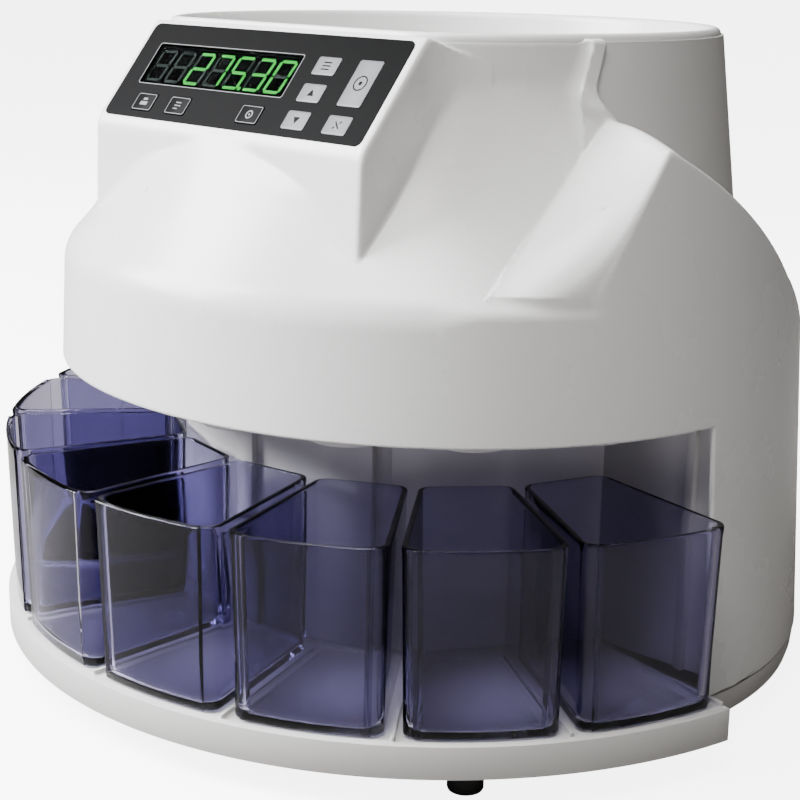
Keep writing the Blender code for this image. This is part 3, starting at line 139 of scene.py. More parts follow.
def added(name, data):
    """A new object in the scene."""
    item = bpy.data.objects.new(name, data)
    bpy.context.scene.collection.objects.link(item)
    return item


def to_metres(points):
    """Points in mm round the sorting axis as points in the frame."""
    return (points + np.array([0.0, AXIS_Y, 0.0])) / 1000.0


def spun(points, angle):
    """Points turned about the sorting axis; a height is kept."""
    cosine, sine = math.cos(angle), math.sin(angle)
    return [(x * cosine - y * sine, x * sine + y * cosine, *rest) for x, y, *rest in points]


def new_object(name, points, faces):
    """A smooth mesh from points in mm round the sorting axis."""
    co = to_metres(np.asarray(points, float).reshape(-1, 3))
    mesh = bpy.data.meshes.new(name)
    mesh.from_pydata(co.tolist(), [], faces)
    mesh.validate()
    mesh.shade_smooth()
    return added(name, mesh)


def outward(item):
    """Join double points and turn all faces outwards."""
    shape = bmesh.new()
    shape.from_mesh(item.data)
    bmesh.ops.remove_doubles(shape, verts=shape.verts, dist=1e-6)
    bmesh.ops.recalc_face_normals(shape, faces=shape.faces)
    shape.to_mesh(item.data)
    shape.free()
    return item


def band_faces(count, steps):
    """Quads of a closed band of rings, each with the same number of points."""
    faces = []
    for k in range(steps):
        m = (k + 1) % steps
        for i in range(count):
            j = (i + 1) % count
            faces.append((k * count + i, m * count + i, m * count + j, k * count + j))
    return faces


def loft(name, rings, sharp):
    """A closed skin through rings with the same number of points."""
    count = len(rings[0])
    points = [point for ring in rings for point in ring]
    faces = []
    for row in range(len(rings) - 1):
        for i in range(count):
            j = (i + 1) % count
            faces.append((row * count + i, row * count + j, (row + 1) * count + j, (row + 1) * count + i))
    faces.append(tuple(reversed(range(count))))
    faces.append(tuple(range((len(rings) - 1) * count, len(rings) * count)))
    item = outward(new_object(name, points, faces))
    if sharp:
        item.data.set_sharp_from_angle(angle=math.radians(sharp))
    return item


def turned(name, profile, centre, steps):
    """A turned ring from a closed profile of (radius, height)."""
    points = []
    for k in range(steps):
        angle = 2 * math.pi * k / steps
        for radius, z in profile:
            points.append((centre[0] + radius * math.cos(angle), centre[1] + radius * math.sin(angle), z))
    item = outward(new_object(name, points, band_faces(len(profile), steps)))
    item.data.set_sharp_from_angle(angle=math.radians(35))
    return item


def rounded(corners, radius, steps=5):
    """Closed (a, b) outline with each corner rounded, by one radius or one per corner."""
    points = []
    count = len(corners)
    for i, corner in enumerate(corners):
        turn_radius = radius[i] if isinstance(radius, (list, tuple)) else radius
        here = Vector(corner)
        before = (Vector(corners[i - 1]) - here).normalized()
        after = (Vector(corners[(i + 1) % count]) - here).normalized()
        half = before.angle(after) / 2
        reach = turn_radius / math.tan(half)
        centre = here + (before + after).normalized() * turn_radius / math.sin(half)
        start = here + before * reach - centre
        end = here + after * reach - centre
        turn = start.angle_signed(end)
        for k in range(steps + 1):
            offset = start.copy()
            offset.rotate(Matrix.Rotation(-turn * k / steps, 2))
            points.append(tuple(centre + offset))
    return points


def apply_modifiers(item):
    """Keep what an object's modifiers make of its mesh."""
    bpy.context.view_layer.update()
    graph = bpy.context.evaluated_depsgraph_get()
    mesh = bpy.data.meshes.new_from_object(item.evaluated_get(graph), depsgraph=graph)
    item.modifiers.clear()
    old = item.data
    item.data = mesh
    bpy.data.meshes.remove(old)
    return item


def bevel(item, width, segments=2, angle=40, harden=True):
    """Round the sharp edges by a width in mm."""
    modifier = item.modifiers.new("Bevel", "BEVEL")
    modifier.width = width / 1000.0
    modifier.segments = segments
    modifier.limit_method = "ANGLE"
    modifier.angle_limit = math.radians(angle)
    modifier.harden_normals = harden
    apply_modifiers(item)
    item.data.shade_smooth()
    item.data.set_sharp_from_angle(angle=math.radians(50))
    return item


def boolean(item, tool, operation):
    """Cut or join with another solid, which is used up."""
    modifier = item.modifiers.new("Boolean", "BOOLEAN")
    modifier.operation = operation
    modifier.solver = "EXACT"
    modifier.object = tool
    apply_modifiers(item)
    bpy.data.objects.remove(tool, do_unlink=True)
    return item


def prism(name, outline, bottom, top):
    """Upright solid from a plan outline."""
    shape = bmesh.new()
    lower = [shape.verts.new((x, y, bottom)) for x, y in outline]
    face = shape.faces.new(lower)
    upper = bmesh.ops.extrude_face_region(shape, geom=[face])["geom"]
    bmesh.ops.translate(shape, verts=[g for g in upper if isinstance(g, bmesh.types.BMVert)],
                        vec=(0, 0, top - bottom))
    shape.normal_update()
    bmesh.ops.recalc_face_normals(shape, faces=shape.faces)
    mesh = bpy.data.meshes.new(name)
    for vertex in shape.verts:
        vertex.co = Vector((vertex.co.x, vertex.co.y + AXIS_Y, vertex.co.z)) / 1000.0
    shape.to_mesh(mesh)
    shape.free()
    return added(name, mesh)


def copy_of(node, name):
    """A new object with the same mesh as a CAD node."""
    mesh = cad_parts[node].data.copy()
    shape = bmesh.new()
    shape.from_mesh(mesh)
    bmesh.ops.remove_doubles(shape, verts=shape.verts, dist=1e-6)
    bmesh.ops.dissolve_limit(shape, angle_limit=math.radians(1), verts=shape.verts, edges=shape.edges)
    shape.to_mesh(mesh)
    shape.free()
    mesh.materials.clear()
    return added(name, mesh)


# Materials

GRAIN_DEPTH = 0.0002


def link(tree, out, into):
    tree.links.new(out, into)


def material(name, colour, roughness, metallic=0.0, grain=0.0, grain_scale=900.0, mottle=0.0,
             mottle_scale=30.0, rough_spread=0.05, transmission=0.0, ior=1.45, emission=0.0, specular=0.5):
    """Procedural finish: mottled colour, uneven gloss and a fine moulded grain."""
    finish = bpy.data.materials.new(name)
    finish.use_nodes = True
    tree = finish.node_tree
    shader = tree.nodes["Principled BSDF"]
    shader.inputs["Metallic"].default_value = metallic
    shader.inputs["IOR"].default_value = ior
    shader.inputs["Transmission Weight"].default_value = transmission
    shader.inputs["Specular IOR Level"].default_value = specular
    if emission:
        shader.inputs["Emission Color"].default_value = (*colour, 1.0)
        shader.inputs["Emission Strength"].default_value = emission
    place = tree.nodes.new("ShaderNodeTexCoord")
    spots = tree.nodes.new("ShaderNodeTexNoise")
    spots.inputs["Scale"].default_value = mottle_scale
    spots.inputs["Detail"].default_value = 4.0
    link(tree, place.outputs["Object"], spots.inputs["Vector"])
    ramp = tree.nodes.new("ShaderNodeValToRGB")
    stops = ramp.color_ramp.elements
    for stop, position, share in zip(stops, (0.3, 0.7), (1.0 - mottle, 1.0 + mottle)):
        stop.position = position
        stop.color = (*[min(c * share, 1.0) for c in colour], 1.0)
    link(tree, spots.outputs["Fac"], ramp.inputs["Fac"])
    link(tree, ramp.outputs["Color"], shader.inputs["Base Color"])
    spread = tree.nodes.new("ShaderNodeMapRange")
    spread.inputs["To Min"].default_value = max(roughness - rough_spread, 0.02)
    spread.inputs["To Max"].default_value = roughness + rough_spread
    link(tree, spots.outputs["Fac"], spread.inputs["Value"])
    link(tree, spread.outputs["Result"], shader.inputs["Roughness"])
    if grain:
        fine = tree.nodes.new("ShaderNodeTexNoise")
        fine.inputs["Scale"].default_value = grain_scale
        fine.inputs["Detail"].default_value = 2.0
        link(tree, place.outputs["Object"], fine.inputs["Vector"])
        bump = tree.nodes.new("ShaderNodeBump")
        bump.inputs["Strength"].default_value = grain
        bump.inputs["Distance"].default_value = GRAIN_DEPTH
        link(tree, fine.outputs["Fac"], bump.inputs["Height"])
        link(tree, bump.outputs["Normal"], shader.inputs["Normal"])
    return finish


WHITE = material("abs_white", (0.80, 0.80, 0.79), 0.27, grain=0.10, grain_scale=1400.0, mottle=0.008)
WHITE_MATTE = material("abs_white_matte", (0.77, 0.76, 0.745), 0.46, grain=0.16, grain_scale=1400.0,
                       mottle=0.01)
WHITE_BASE = material("abs_grey_base", (0.60, 0.595, 0.58), 0.42, grain=0.14, grain_scale=1200.0,
                      mottle=0.012)
PANEL_BLACK = material("panel_black", (0.0014, 0.0014, 0.0014), 0.42, specular=0.03, grain=0.02,
                       grain_scale=600.0, rough_spread=0.03, mottle=0.1)
KEY_GREY = material("key_grey", (0.105, 0.108, 0.115), 0.42, grain=0.05, mottle=0.02)
KEY_DARK = material("key_dark", (0.0014, 0.0014, 0.0015), 0.42, specular=0.04, grain=0.05, mottle=0.05)
PRINT_GREY = material("print_grey", (0.13, 0.132, 0.138), 0.45, mottle=0.02)
WINDOW = material("window_smoke", (0.36, 0.39, 0.39), 0.03, transmission=1.0, ior=1.18, rough_spread=0.005,
                  mottle=0.02)
LED_ON = material("led_on", (0.06, 0.95, 0.08), 0.4, emission=1.3, mottle=0.0)
LED_OFF = material("led_off", (0.045, 0.06, 0.05), 0.4, mottle=0.05)
CUP = material("cup_clear", (0.61, 0.59, 0.76), 0.04, transmission=1.0, ior=1.28, rough_spread=0.015,
               grain=0.015, grain_scale=120.0, mottle=0.02)
RUBBER = material("rubber_black", (0.018, 0.018, 0.018), 0.75, grain=0.4, grain_scale=2200.0, mottle=0.15)
DARK = material("plastic_dark", (0.03, 0.03, 0.033), 0.48, grain=0.2, mottle=0.08)
BOARD = material("board_green", (0.02, 0.12, 0.05), 0.42, grain=0.2, grain_scale=700.0, mottle=0.25,
                 mottle_scale=260.0)
STEEL = material("steel", (0.56, 0.56, 0.57), 0.30, metallic=1.0, grain=0.12, grain_scale=500.0,
                 mottle=0.05, rough_spread=0.08)
BRASS = material("brass", (0.66, 0.50, 0.22), 0.33, metallic=1.0, grain=0.08, mottle=0.06)


def finish(item, look, body="machine", nodes=(), slot=None):
    """Give a piece its look, the body it rides on and the nodes it stands for; the slot argument is not
    used.
    """
    item.data.materials.clear()
    item.data.materials.append(look)
    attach(item, body)
    if nodes:
        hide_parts(*nodes)
    return item


# Shape of the housing as a distance in mm, below zero inside

SKIN_THINNING = 0.03


def soft_min(a, b, k):
    """The smaller of two distances, with a rounding of about k where they meet."""
    h = np.maximum(k - np.abs(a - b), 0.0)
    return np.minimum(a, b) - h * h / (4.0 * k)


def soft_max(a, b, k):
    return -soft_min(-a, -b, k)


def ease(value, start, end):
    """From 0 at the start to 1 at the end, smooth at both."""
    t = np.clip((value - start) / (end - start), 0.0, 1.0)
    return t * t * (3.0 - 2.0 * t)


def plan_gap(x, y, half_width, half_depth, centre_y):
    """Gap to an upright oval, seen from above."""
    px = x / half_width
    py = (y - centre_y) / half_depth
    k = np.sqrt(px * px + py * py) + 1e-6
    slope = np.sqrt((px / half_width) ** 2 + (py / half_depth) ** 2) + 1e-9
    return k * (k - 1.0) / slope


def body_axes(z):
    growth = BODY_DRAFT * (CREASE_Z - z)
    return BODY_HALF_WIDTH + growth, BODY_HALF_DEPTH + growth


def flare_run(z):
    return np.clip((FLARE_TOP_Z - z) / (FLARE_TOP_Z - CREASE_Z), 0.0, FLARE_REACH)


def flare_axes(z):
    share = flare_run(z) ** FLARE_POWER
    half_width = FLARE_TOP_RADIUS + FLARE_SPREAD[0] * share
    half_depth = FLARE_TOP_RADIUS + FLARE_SPREAD[1] * share
    return half_width, half_depth, BODY_CENTRE_Y * share


def flare_gap(x, y, z):
    half_width, half_depth, centre_y = flare_axes(z)
    slope = 0.9 * flare_run(z) ** (FLARE_POWER - 1.0)
    return plan_gap(x, y, half_width, half_depth, centre_y) / np.sqrt(1.0 + slope * slope)


def tower_radius(z):
    return TOWER_TOP_RADIUS + TOWER_SLOPE * (TOP_Z - z)


def seam_y(z):
    """Where the cover's edge runs down the hopper wall in front of the tower."""
    return SEAM_Y - SEAM_SLOPE * np.clip(SEAM_TOP_Z - z, 0.0, SEAM_DROP)


def deck_share(x):
    """From 0 over the tower's foot to 1 at the side wall."""
    return np.clip((np.abs(x) - DECK_CROWN_X) / DECK_CROWN_SPAN, 0.0, 1.0)


def deck_height(x, y):
    run = np.minimum(y, DECK_TURN_Y) - DECK_EDGE_Y
    height = DECK_EDGE_Z - DECK_FALL * run - np.maximum(run, 0.0) ** 2 / DECK_CURVE
    height = height - DECK_REAR_FALL * np.maximum(y - DECK_TURN_Y, 0.0)
    return height + DECK_CROWN * (1.0 - deck_share(x) ** 1.6)


def deck_gap(x, y, z):
    run = np.clip(y - DECK_EDGE_Y, 0.0, DECK_TURN_Y - DECK_EDGE_Y)
    slope_y = DECK_FALL + run * 2.0 / DECK_CURVE
    slope_x = 0.5 * deck_share(x) ** 0.6
    return (z - deck_height(x, y)) / np.sqrt(1.0 + slope_y ** 2 + slope_x ** 2)


def shoulder_crease_x(level):
    """Where the shoulder meets the front slope."""
    share = (SHOULDER_TOP_Z - level) / (SHOULDER_TOP_Z - SHOULDER_FOOT_Z)
    return SHOULDER_CREASE_X + SHOULDER_CREASE_SPREAD * share


def shoulder_front(x, y, z):
    """Gap in front of the twisted face between the crease and the side wall."""
    level = np.clip(z, DECK_EDGE_Z - SHOULDER_EDGE_DROP, SHOULDER_TOP_Z)
    crease_x = shoulder_crease_x(level)
    half_width, half_depth, centre_y = flare_axes(level)
    crease_y = centre_y - half_depth * np.sqrt(np.maximum(1.0 - (crease_x / half_width) ** 2, 0.0))
    fall = (DECK_EDGE_Z - level) / SHOULDER_EDGE_DROP
    edge_y = DECK_EDGE_Y - SHOULDER_EDGE_RUN * fall
    wall_width, wall_depth = body_axes(level)
    edge_x = wall_width * np.sqrt(1.0 - ((edge_y - BODY_CENTRE_Y) / wall_depth) ** 2)
    along_x = edge_x - crease_x
    along_y = edge_y - crease_y
    length = np.sqrt(along_x ** 2 + along_y ** 2)
    from_x = x - crease_x
    from_y = y - crease_y
    share_across = np.clip((from_x * along_x + from_y * along_y) / length ** 2, 0.0, 1.0)
    gap = (from_x * along_y - from_y * along_x) / length
    gap = gap - SHOULDER_BOW * share_across * (1.0 - share_across)
    lean = 1.15 - 0.55 * share_across
    return gap / np.sqrt(1.0 + lean * lean)


def panel_axes(y, z):
    """Distance down the panel's slope and out of its face."""
    dy = y - PANEL_ORIGIN[1]
    dz = z - PANEL_ORIGIN[2]
    down = -dy * math.cos(PANEL_TILT) - dz * math.sin(PANEL_TILT)
    out = -dy * math.sin(PANEL_TILT) + dz * math.cos(PANEL_TILT)
    return down, out


LIP_Y = PANEL_ORIGIN[1] - (PANEL_SIZE[1] + PANEL_BORDER) * math.cos(PANEL_TILT)
LIP_Z = PANEL_ORIGIN[2] - (PANEL_SIZE[1] + PANEL_BORDER) * math.sin(PANEL_TILT)
RIDGE_Z = PANEL_ORIGIN[2] + PANEL_BORDER * math.sin(PANEL_TILT)


def console_gap(x, y, z):
    """Gap to the console, whose sides spread where they meet the slope."""
    out = panel_axes(y, z)[1]
    front = (LIP_Y - 2.0 * (LIP_Z - z) / (LIP_Z - SHOULDER_FOOT_Z)) - y
    spread = np.clip((y - CONSOLE_FLARE_START_Y) / CONSOLE_FLARE_RUN, 0.0, 1.3)
    side = np.abs(x) - (CONSOLE_HALF + CONSOLE_FLARE * spread * spread)
    behind = y - (CHORD_Y - 0.3)
    step = np.minimum(behind, z - (264.4 - 0.45 * behind))
    upper = soft_max(out, z - RIDGE_Z, 2.4)
    gap = soft_max(soft_max(upper, front, 2.6), side, 2.6)
    gap = soft_max(gap, step, 0.8)
    return np.maximum(gap, np.maximum(y + 60.0, 170.0 - z))


def panel_window(u, v, inset, radius):
    """Gap to the panel's outline, moved in and with rounded corners."""
    du = np.abs(u - PANEL_SIZE[0] / 2) - (PANEL_SIZE[0] - 2 * inset) / 2 + radius
    dv = np.abs(v - PANEL_SIZE[1] / 2) - (PANEL_SIZE[1] - 2 * inset) / 2 + radius
    outside = np.sqrt(np.maximum(du, 0.0) ** 2 + np.maximum(dv, 0.0) ** 2)
    return outside + np.minimum(np.maximum(du, dv), 0.0) - radius


def cover_outside(x, y, z):
    """Gap to the outer skin of the housing."""
    side_x = np.abs(x)
    body = plan_gap(side_x, y, *body_axes(z), BODY_CENTRE_Y)
    body = soft_max(body, y - REAR_Y, 5.0)
    deck = deck_gap(side_x, y, z)
    behind = seam_y(z) - y
    out = panel_axes(y, z)[1]
    clear = np.maximum(np.maximum(side_x - CONSOLE_HALF, LIP_Z - z),
                       np.maximum(y - CHORD_Y, np.minimum(-out - 1.6, RIDGE_Z - z)))
    flare = soft_max(flare_gap(side_x, y, z), z - COVER_TOP_Z, 1.2)
    flare = np.maximum(flare, -clear)
    radius = np.sqrt(side_x * side_x + y * y)
    lip = soft_max(radius - tower_radius(z) - RIM_LIP, z - COVER_TOP_Z, 1.2)
    lip = np.maximum(lip, behind - RIM_LIP_WIDTH)
    lip = np.maximum(lip, RIM_LIP_FOOT_Z - z)
    lip = np.maximum(lip, RIM_LIP_START_X - side_x)
    flare = soft_min(flare, lip, 4.5)
    flare = soft_max(flare, np.minimum(-behind, deck), 1.6)
    shoulder = soft_max(shoulder_front(side_x, y, z), deck, 3.4)
    crease_x = shoulder_crease_x(np.clip(z, SHOULDER_FOOT_Z, SHOULDER_TOP_Z))
    shoulder = np.maximum(shoulder, crease_x - 0.4 - side_x)
    blend = 1.5 + 9.0 * ease(z, 231.0, 241.0)
    form = soft_min(flare, shoulder, blend)
    form = soft_max(form, body, 4.5 - 3.0 * ease(side_x - crease_x, -14.0, 2.0))
    centre = np.clip(1.0 - (side_x / 78.0) ** 2, 0.0, 1.0) ** 1.5
    blend = 1.0 + 9.0 * centre * (1.0 - ease(z, 206.0, 220.0))
    return soft_min(form, console_gap(side_x, y, z), blend)


def housing(x, y, z):
    """Gap to the housing: a shell with its openings."""
    outside = cover_outside(x, y, z)
    console = (np.abs(x) < 86.0) & (y < -84.0) & (z > 214.0)
    wall = np.where(console, CONSOLE_WALL, WALL)
    shell = soft_max(outside, -(outside + wall), 0.8)
    radius = np.sqrt(x * x + y * y)
    opening = np.maximum(np.maximum(radius - 113.0, CHORD_Y - 0.3 - y), 200.0 - z)
    shell = soft_max(shell, -opening, 0.6)
    floor = (deck_height(x, y) - 14.5) - z
    tower = np.maximum(np.maximum(radius - tower_radius(z) - 0.3, seam_y(z) - y), floor)
    shell = soft_max(shell, -tower, 0.8)
    u = x - PANEL_ORIGIN[0]
    v, out = panel_axes(y, z)
    recess = np.maximum(panel_window(u, v, 0.9, 2.1), -1.5 - out)
    pocket = np.maximum(panel_window(u, v, 2.2, 2.0), -12.0 - out)
    shell = soft_max(shell, -recess, 0.5)
    shell = np.maximum(shell, -pocket)
    bay = np.maximum(y - BAY_EDGE_Y, z - BAY_TOP_Z)
    shell = soft_max(shell, -bay, 1.0)
    rear = np.maximum(np.maximum(np.abs(x) - 45.3, 134.0 - y), np.abs(z - 52.5) - 25.8)
    shell = soft_max(shell, -rear, 0.6)
    return soft_max(shell, 19.0 - z, 0.8)


def gradient(shape, points, step):
    """Slope of a shape at points, by differences."""
    grad = np.empty_like(points)
    for axis in range(3):
        shift = np.zeros(3)
        shift[axis] = step
        high = points + shift
        low = points - shift
        grad[:, axis] = shape(high[:, 0], high[:, 1], high[:, 2]) - shape(low[:, 0], low[:, 1], low[:, 2])
    return grad / (2.0 * step)


def settle(shape, points, rounds, limit):
    """Move points onto the surface, each at most a limit a round."""
    for _ in range(rounds):
        value = shape(points[:, 0], points[:, 1], points[:, 2])
        grad = gradient(shape, points, 0.1)
        square = np.maximum((grad ** 2).sum(1), 0.25)
        move = -(value / square)[:, None] * grad
        size = np.sqrt((move ** 2).sum(1))
        move *= np.minimum(1.0, limit / np.maximum(size, 1e-9))[:, None]
        points = points + move
    return points


def half_field(shape, low, counts, voxel):
    """Values on a grid that mirrors in x, worked out on one half."""
    half = counts[0] // 2
    xs = (np.arange(half + 1) * voxel).astype(np.float32)
    ys = (low[1] + np.arange(counts[1]) * voxel).astype(np.float32)
    zs = (low[2] + np.arange(counts[2]) * voxel).astype(np.float32)
    field = np.empty((2 * half + 1, counts[1], counts[2]), np.float32)
    for start in range(0, half + 1, 16):
        part = xs[start:start + 16]
        grid_x, grid_y, grid_z = np.meshgrid(part, ys, zs, indexing="ij")
        values = np.clip(shape(grid_x, grid_y, grid_z), -3 * voxel, 3 * voxel)
        field[half + start:half + start + len(part)] = values
    field[:half] = field[:half:-1]
    return field


def add_faces(mesh, triangles, quads):
    """Fill a mesh that has its points with triangles and quads."""
    corners = np.concatenate([triangles.ravel(), quads.ravel()]).astype(np.int32)
    sizes = np.concatenate([np.full(len(triangles), 3), np.full(len(quads), 4)]).astype(np.int32)
    starts = (np.cumsum(sizes) - sizes).astype(np.int32)
    mesh.loops.add(len(corners))
    mesh.loops.foreach_set("vertex_index", corners)
    mesh.polygons.add(len(sizes))
    mesh.polygons.foreach_set("loop_start", starts)
    mesh.polygons.foreach_set("loop_total", sizes)
    mesh.update(calc_edges=True)
    return corners, sizes


def corner_normals(shape, mesh, points, corners, sizes):
    """Slope of the shape at each face corner, taken a little inside the face."""
    centres = np.empty(len(mesh.polygons) * 3)
    mesh.polygons.foreach_get("center", centres)
    owner = np.repeat(np.arange(len(sizes)), sizes)
    inward = centres.reshape(-1, 3)[owner] - points[corners]
    length = np.sqrt((inward ** 2).sum(1))
    inward *= np.minimum(0.3, 0.4 / np.maximum(length, 1e-6))[:, None]
    normals = gradient(shape, points[corners] + inward, 0.12)
    return normals / np.maximum(np.sqrt((normals ** 2).sum(1)), 1e-9)[:, None]


def mesh_from_shape(name, shape, low, high, voxel):
    """Skin of a shape that mirrors in x, settled on its surface and shaded by its own slope."""
    counts = [int(round((high[i] - low[i]) / voxel)) + 1 for i in range(3)]
    volume = openvdb.FloatGrid(3 * voxel)
    volume.copyFromArray(half_field(shape, low, counts, voxel))
    volume.transform = openvdb.createLinearTransform(voxelSize=voxel)
    points, triangles, quads = volume.convertToPolygons(isovalue=0.0, adaptivity=SKIN_THINNING)
    points = np.asarray(points, float) + np.array([-(counts[0] // 2) * voxel, low[1], low[2]])
    points = settle(shape, points, 3, voxel)
    mesh = bpy.data.meshes.new(name)
    mesh.vertices.add(len(points))
    mesh.vertices.foreach_set("co", points.ravel())
    corners, sizes = add_faces(mesh, np.asarray(triangles).reshape(-1, 3), np.asarray(quads).reshape(-1, 4))
    normals = corner_normals(shape, mesh, points, corners, sizes)
    mesh.shade_smooth()
    mesh.vertices.foreach_set("co", to_metres(points).ravel())
    mesh.update()
    mesh.normals_split_custom_set(normals.tolist())
    return added(name, mesh)


cover = mesh_from_shape("housing_shell", housing, (-168.0, -164.0, 16.0), (168.0, 143.0, 269.0),
                        1.0)
cover.shadow_terminator_geometry_offset = 0.3
finish(cover, WHITE, nodes=["top_cover"], slot="housing")


# Tower behind the hopper

TOWER_REAR_Y = 137.2


def tower_wall():
    """Curved wall from the seam on one side round the back to the other."""
    columns, rows = 120, 24
    points = []
    for inset in (0.0, WALL):
        for row in range(rows + 1):
            for column in range(columns + 1):
                share = column / columns
                z = COVER_TOP_Z
                for _ in range(4):
                    radius = tower_radius(z) - inset
                    start = math.acos(-(float(seam_y(z)) - 1.2) / radius)
                    angle = start + share * 2.0 * (math.pi - start)
                    x, y = polar(radius, angle)
                    low = float(deck_height(x, min(y, TOWER_REAR_Y))) - 12.5
                    z = low + (COVER_TOP_Z - low) * row / rows
                points.append((x, min(y, TOWER_REAR_Y), z))
    width = columns + 1
    layer = width * (rows + 1)
    faces = []
    for row in range(rows):
        for column in range(columns):
            a = row * width + column
            faces.append((a, a + 1, a + 1 + width, a + width))
            faces.append((layer + a, layer + a + width, layer + a + 1 + width, layer + a + 1))
    for row in range(rows):
        for column, flip in ((0, False), (columns, True)):
            a = row * width + column
            face = (a, a + width, layer + a + width, layer + a)
            faces.append(tuple(reversed(face)) if flip else face)
    for column in range(columns):
        for row, flip in ((0, True), (rows, False)):
            a = row * width + column
            face = (a, a + 1, layer + a + 1, layer + a)
            faces.append(tuple(reversed(face)) if flip else face)
    item = outward(new_object("tower_wall", points, faces))
    item.data.set_sharp_from_angle(angle=math.radians(40))
    return item


finish(tower_wall(), WHITE_MATTE, nodes=["tower_shroud"], slot="housing")


# Hopper bowl

HOPPER_CORNER = 5.0


def hopper_reach(radius, chord, angle):
    """Distance from the axis at an angle, flattened at the console."""
    facing = math.cos(angle)
    if facing <= 0.05:
        return radius
    straight = chord / facing
    h = max(HOPPER_CORNER - abs(radius - straight), 0.0)
    return min(radius, straight) - h * h / (4.0 * HOPPER_CORNER)


def hopper_bowl():
    """Bowl from a closed profile of (radius, height, distance of the flat side)."""
    profile = [(112.4, 261.9, 90.2), (114.9, 261.9, 90.2), (115.3, 262.2, 90.2), (115.3, 263.4, 90.2),
               (115.1, 264.4, 90.1), (114.6, 265.3, 89.9), (113.9, 265.8, 89.5), (113.0, 266.0, 89.1),
               (111.9, 266.0, 88.6), (110.9, 265.6, 88.0), (110.1, 264.6, 87.7), (109.7, 263.0, 87.7)]
    for k in range(1, 13):
        share = k / 12
        profile.append((109.7 - 15.5 * share ** 1.15, 263.0 - 55.0 * share, 87.7 - 2.0 * share))
    profile += [(93.0, 204.9, 85.0), (90.6, 202.4, 84.0), (87.0, 200.2, 83.0), (75.0, 193.4, 75.0),
                (62.0, 186.0, 62.0), (59.2, 184.0, 60.0), (57.9, 181.6, 60.0), (57.5, 179.0, 60.0),
                (57.5, 172.4, 60.0), (57.9, 172.0, 60.0), (59.6, 172.0, 60.0), (60.0, 172.4, 60.0),
                (60.0, 180.0, 62.0), (76.0, 190.6, 78.0), (94.0, 201.6, 87.0), (96.9, 205.0, 88.0)]
    profile += [(99.0, 213.0, 88.6), (104.0, 231.0, 89.4), (108.6, 248.0, 90.0)]
    steps = 192
    points = []
    for k in range(steps):
        angle = 2 * math.pi * k / steps
        for radius, z, chord in profile:
            reach = hopper_reach(radius, chord, angle)
            points.append((*polar(reach, angle), z))
    item = outward(new_object("hopper_bowl", points, band_faces(len(profile), steps)))
    item.data.set_sharp_from_angle(angle=math.radians(45))
    return item


finish(hopper_bowl(), WHITE, nodes=["hopper"], slot="housing")


# Cups

def cup_section(z, inset, corner):
    """Level outline of a cup with a bowed front and rounded corners."""
    outer = CUP_OUTER - inset
    inner = CUP_INNER + inset
    outer_side = outer * math.sin(CUP_OUTER_HALF) - inset
    inner_side = inner * math.sin(CUP_INNER_HALF) - inset
    bow = outer - outer * math.cos(CUP_OUTER_HALF)
    steps = 14
    front = [(outer_side * (2 * i / steps - 1.0), -outer + bow * (2 * i / steps - 1.0) ** 2)
             for i in range(steps + 1)]
    back_y = -inner * math.cos(CUP_INNER_HALF)
    corners = [front[-1], (inner_side, back_y), (-inner_side, back_y), front[0]]
    return [(x, y, z) for x, y in rounded(corners, corner, 8) + front[1:-1]]


def cup_rings():
    """Outlines up the outside, over the rim and down the inside."""
    foot_radius, floor_radius = 1.6, 3.0

    def lean(z):
        return CUP_TAPER * (CUP_HIGH - z) / (CUP_HIGH - CUP_LOW)

    rings = [cup_section(CUP_LOW, CUP_TAPER + foot_radius, 3.6)]
    for k in range(1, 5):
        angle = math.pi / 2 * k / 4
        z = CUP_LOW + foot_radius * (1.0 - math.cos(angle))
        rings.append(cup_section(z, lean(z) + foot_radius * (1.0 - math.sin(angle)), 4.4))
    for z in (45.0, 70.0, 92.0, 92.6):
        rings.append(cup_section(z, lean(z), 5.4))
    for z, inset, corner in ((95.7, -0.2, 5.5), (96.3, 0.0, 5.4), (CUP_HIGH, 0.5, 5.2), (CUP_HIGH, 1.5, 4.8),
                             (96.3, 1.85, 4.6)):
        rings.append(cup_section(z, inset, corner))
    for z in (95.6, 70.0, 45.0, 31.0):
        rings.append(cup_section(z, lean(z) + CUP_WALL, 4.6))
    for k in range(1, 5):
        angle = math.pi / 2 * k / 4
        z = CUP_LOW + CUP_WALL + floor_radius * (1.0 - math.sin(angle))
        rings.append(cup_section(z, lean(z) + CUP_WALL + floor_radius * (1.0 - math.cos(angle)), 4.2))
    return rings


CUP_RINGS = cup_rings()
for index in range(CUPS):
    rings = [spun(ring, cup_angle(index)) for ring in CUP_RINGS]
    cup = loft("coin_cup_%d" % (index + 1), rings, 50)
    finish(cup, CUP, body="cup_body_%d" % (index + 1), nodes=["cup_%d" % (index + 1)], slot="cup_clear")


# Chute sleeves and feet

for index in range(CUPS):
    place = polar(CHUTE_PLACE, cup_angle(index))
    sleeve = turned("sleeve_%d" % (index + 1), [
        (15.8, 149.7), (15.8, 121.4), (15.5, 120.5), (15.0, 120.0), (14.7, 120.0), (14.2, 120.4),
        (14.0, 121.4), (14.0, 149.7)], place, 48)
    finish(sleeve, WHITE_MATTE, nodes=["chute_sleeve_%d" % (index + 1)], slot="housing")


def foot(name, place, top):
    return turned(name, [(0.01, 0.6), (2.6, 0.6), (3.0, 0.2), (3.4, 0.0), (5.9, 0.0), (6.5, 0.3), (6.8, 1.0),
                         (6.8, top - 0.2), (6.6, top), (0.01, top)], place, 40)


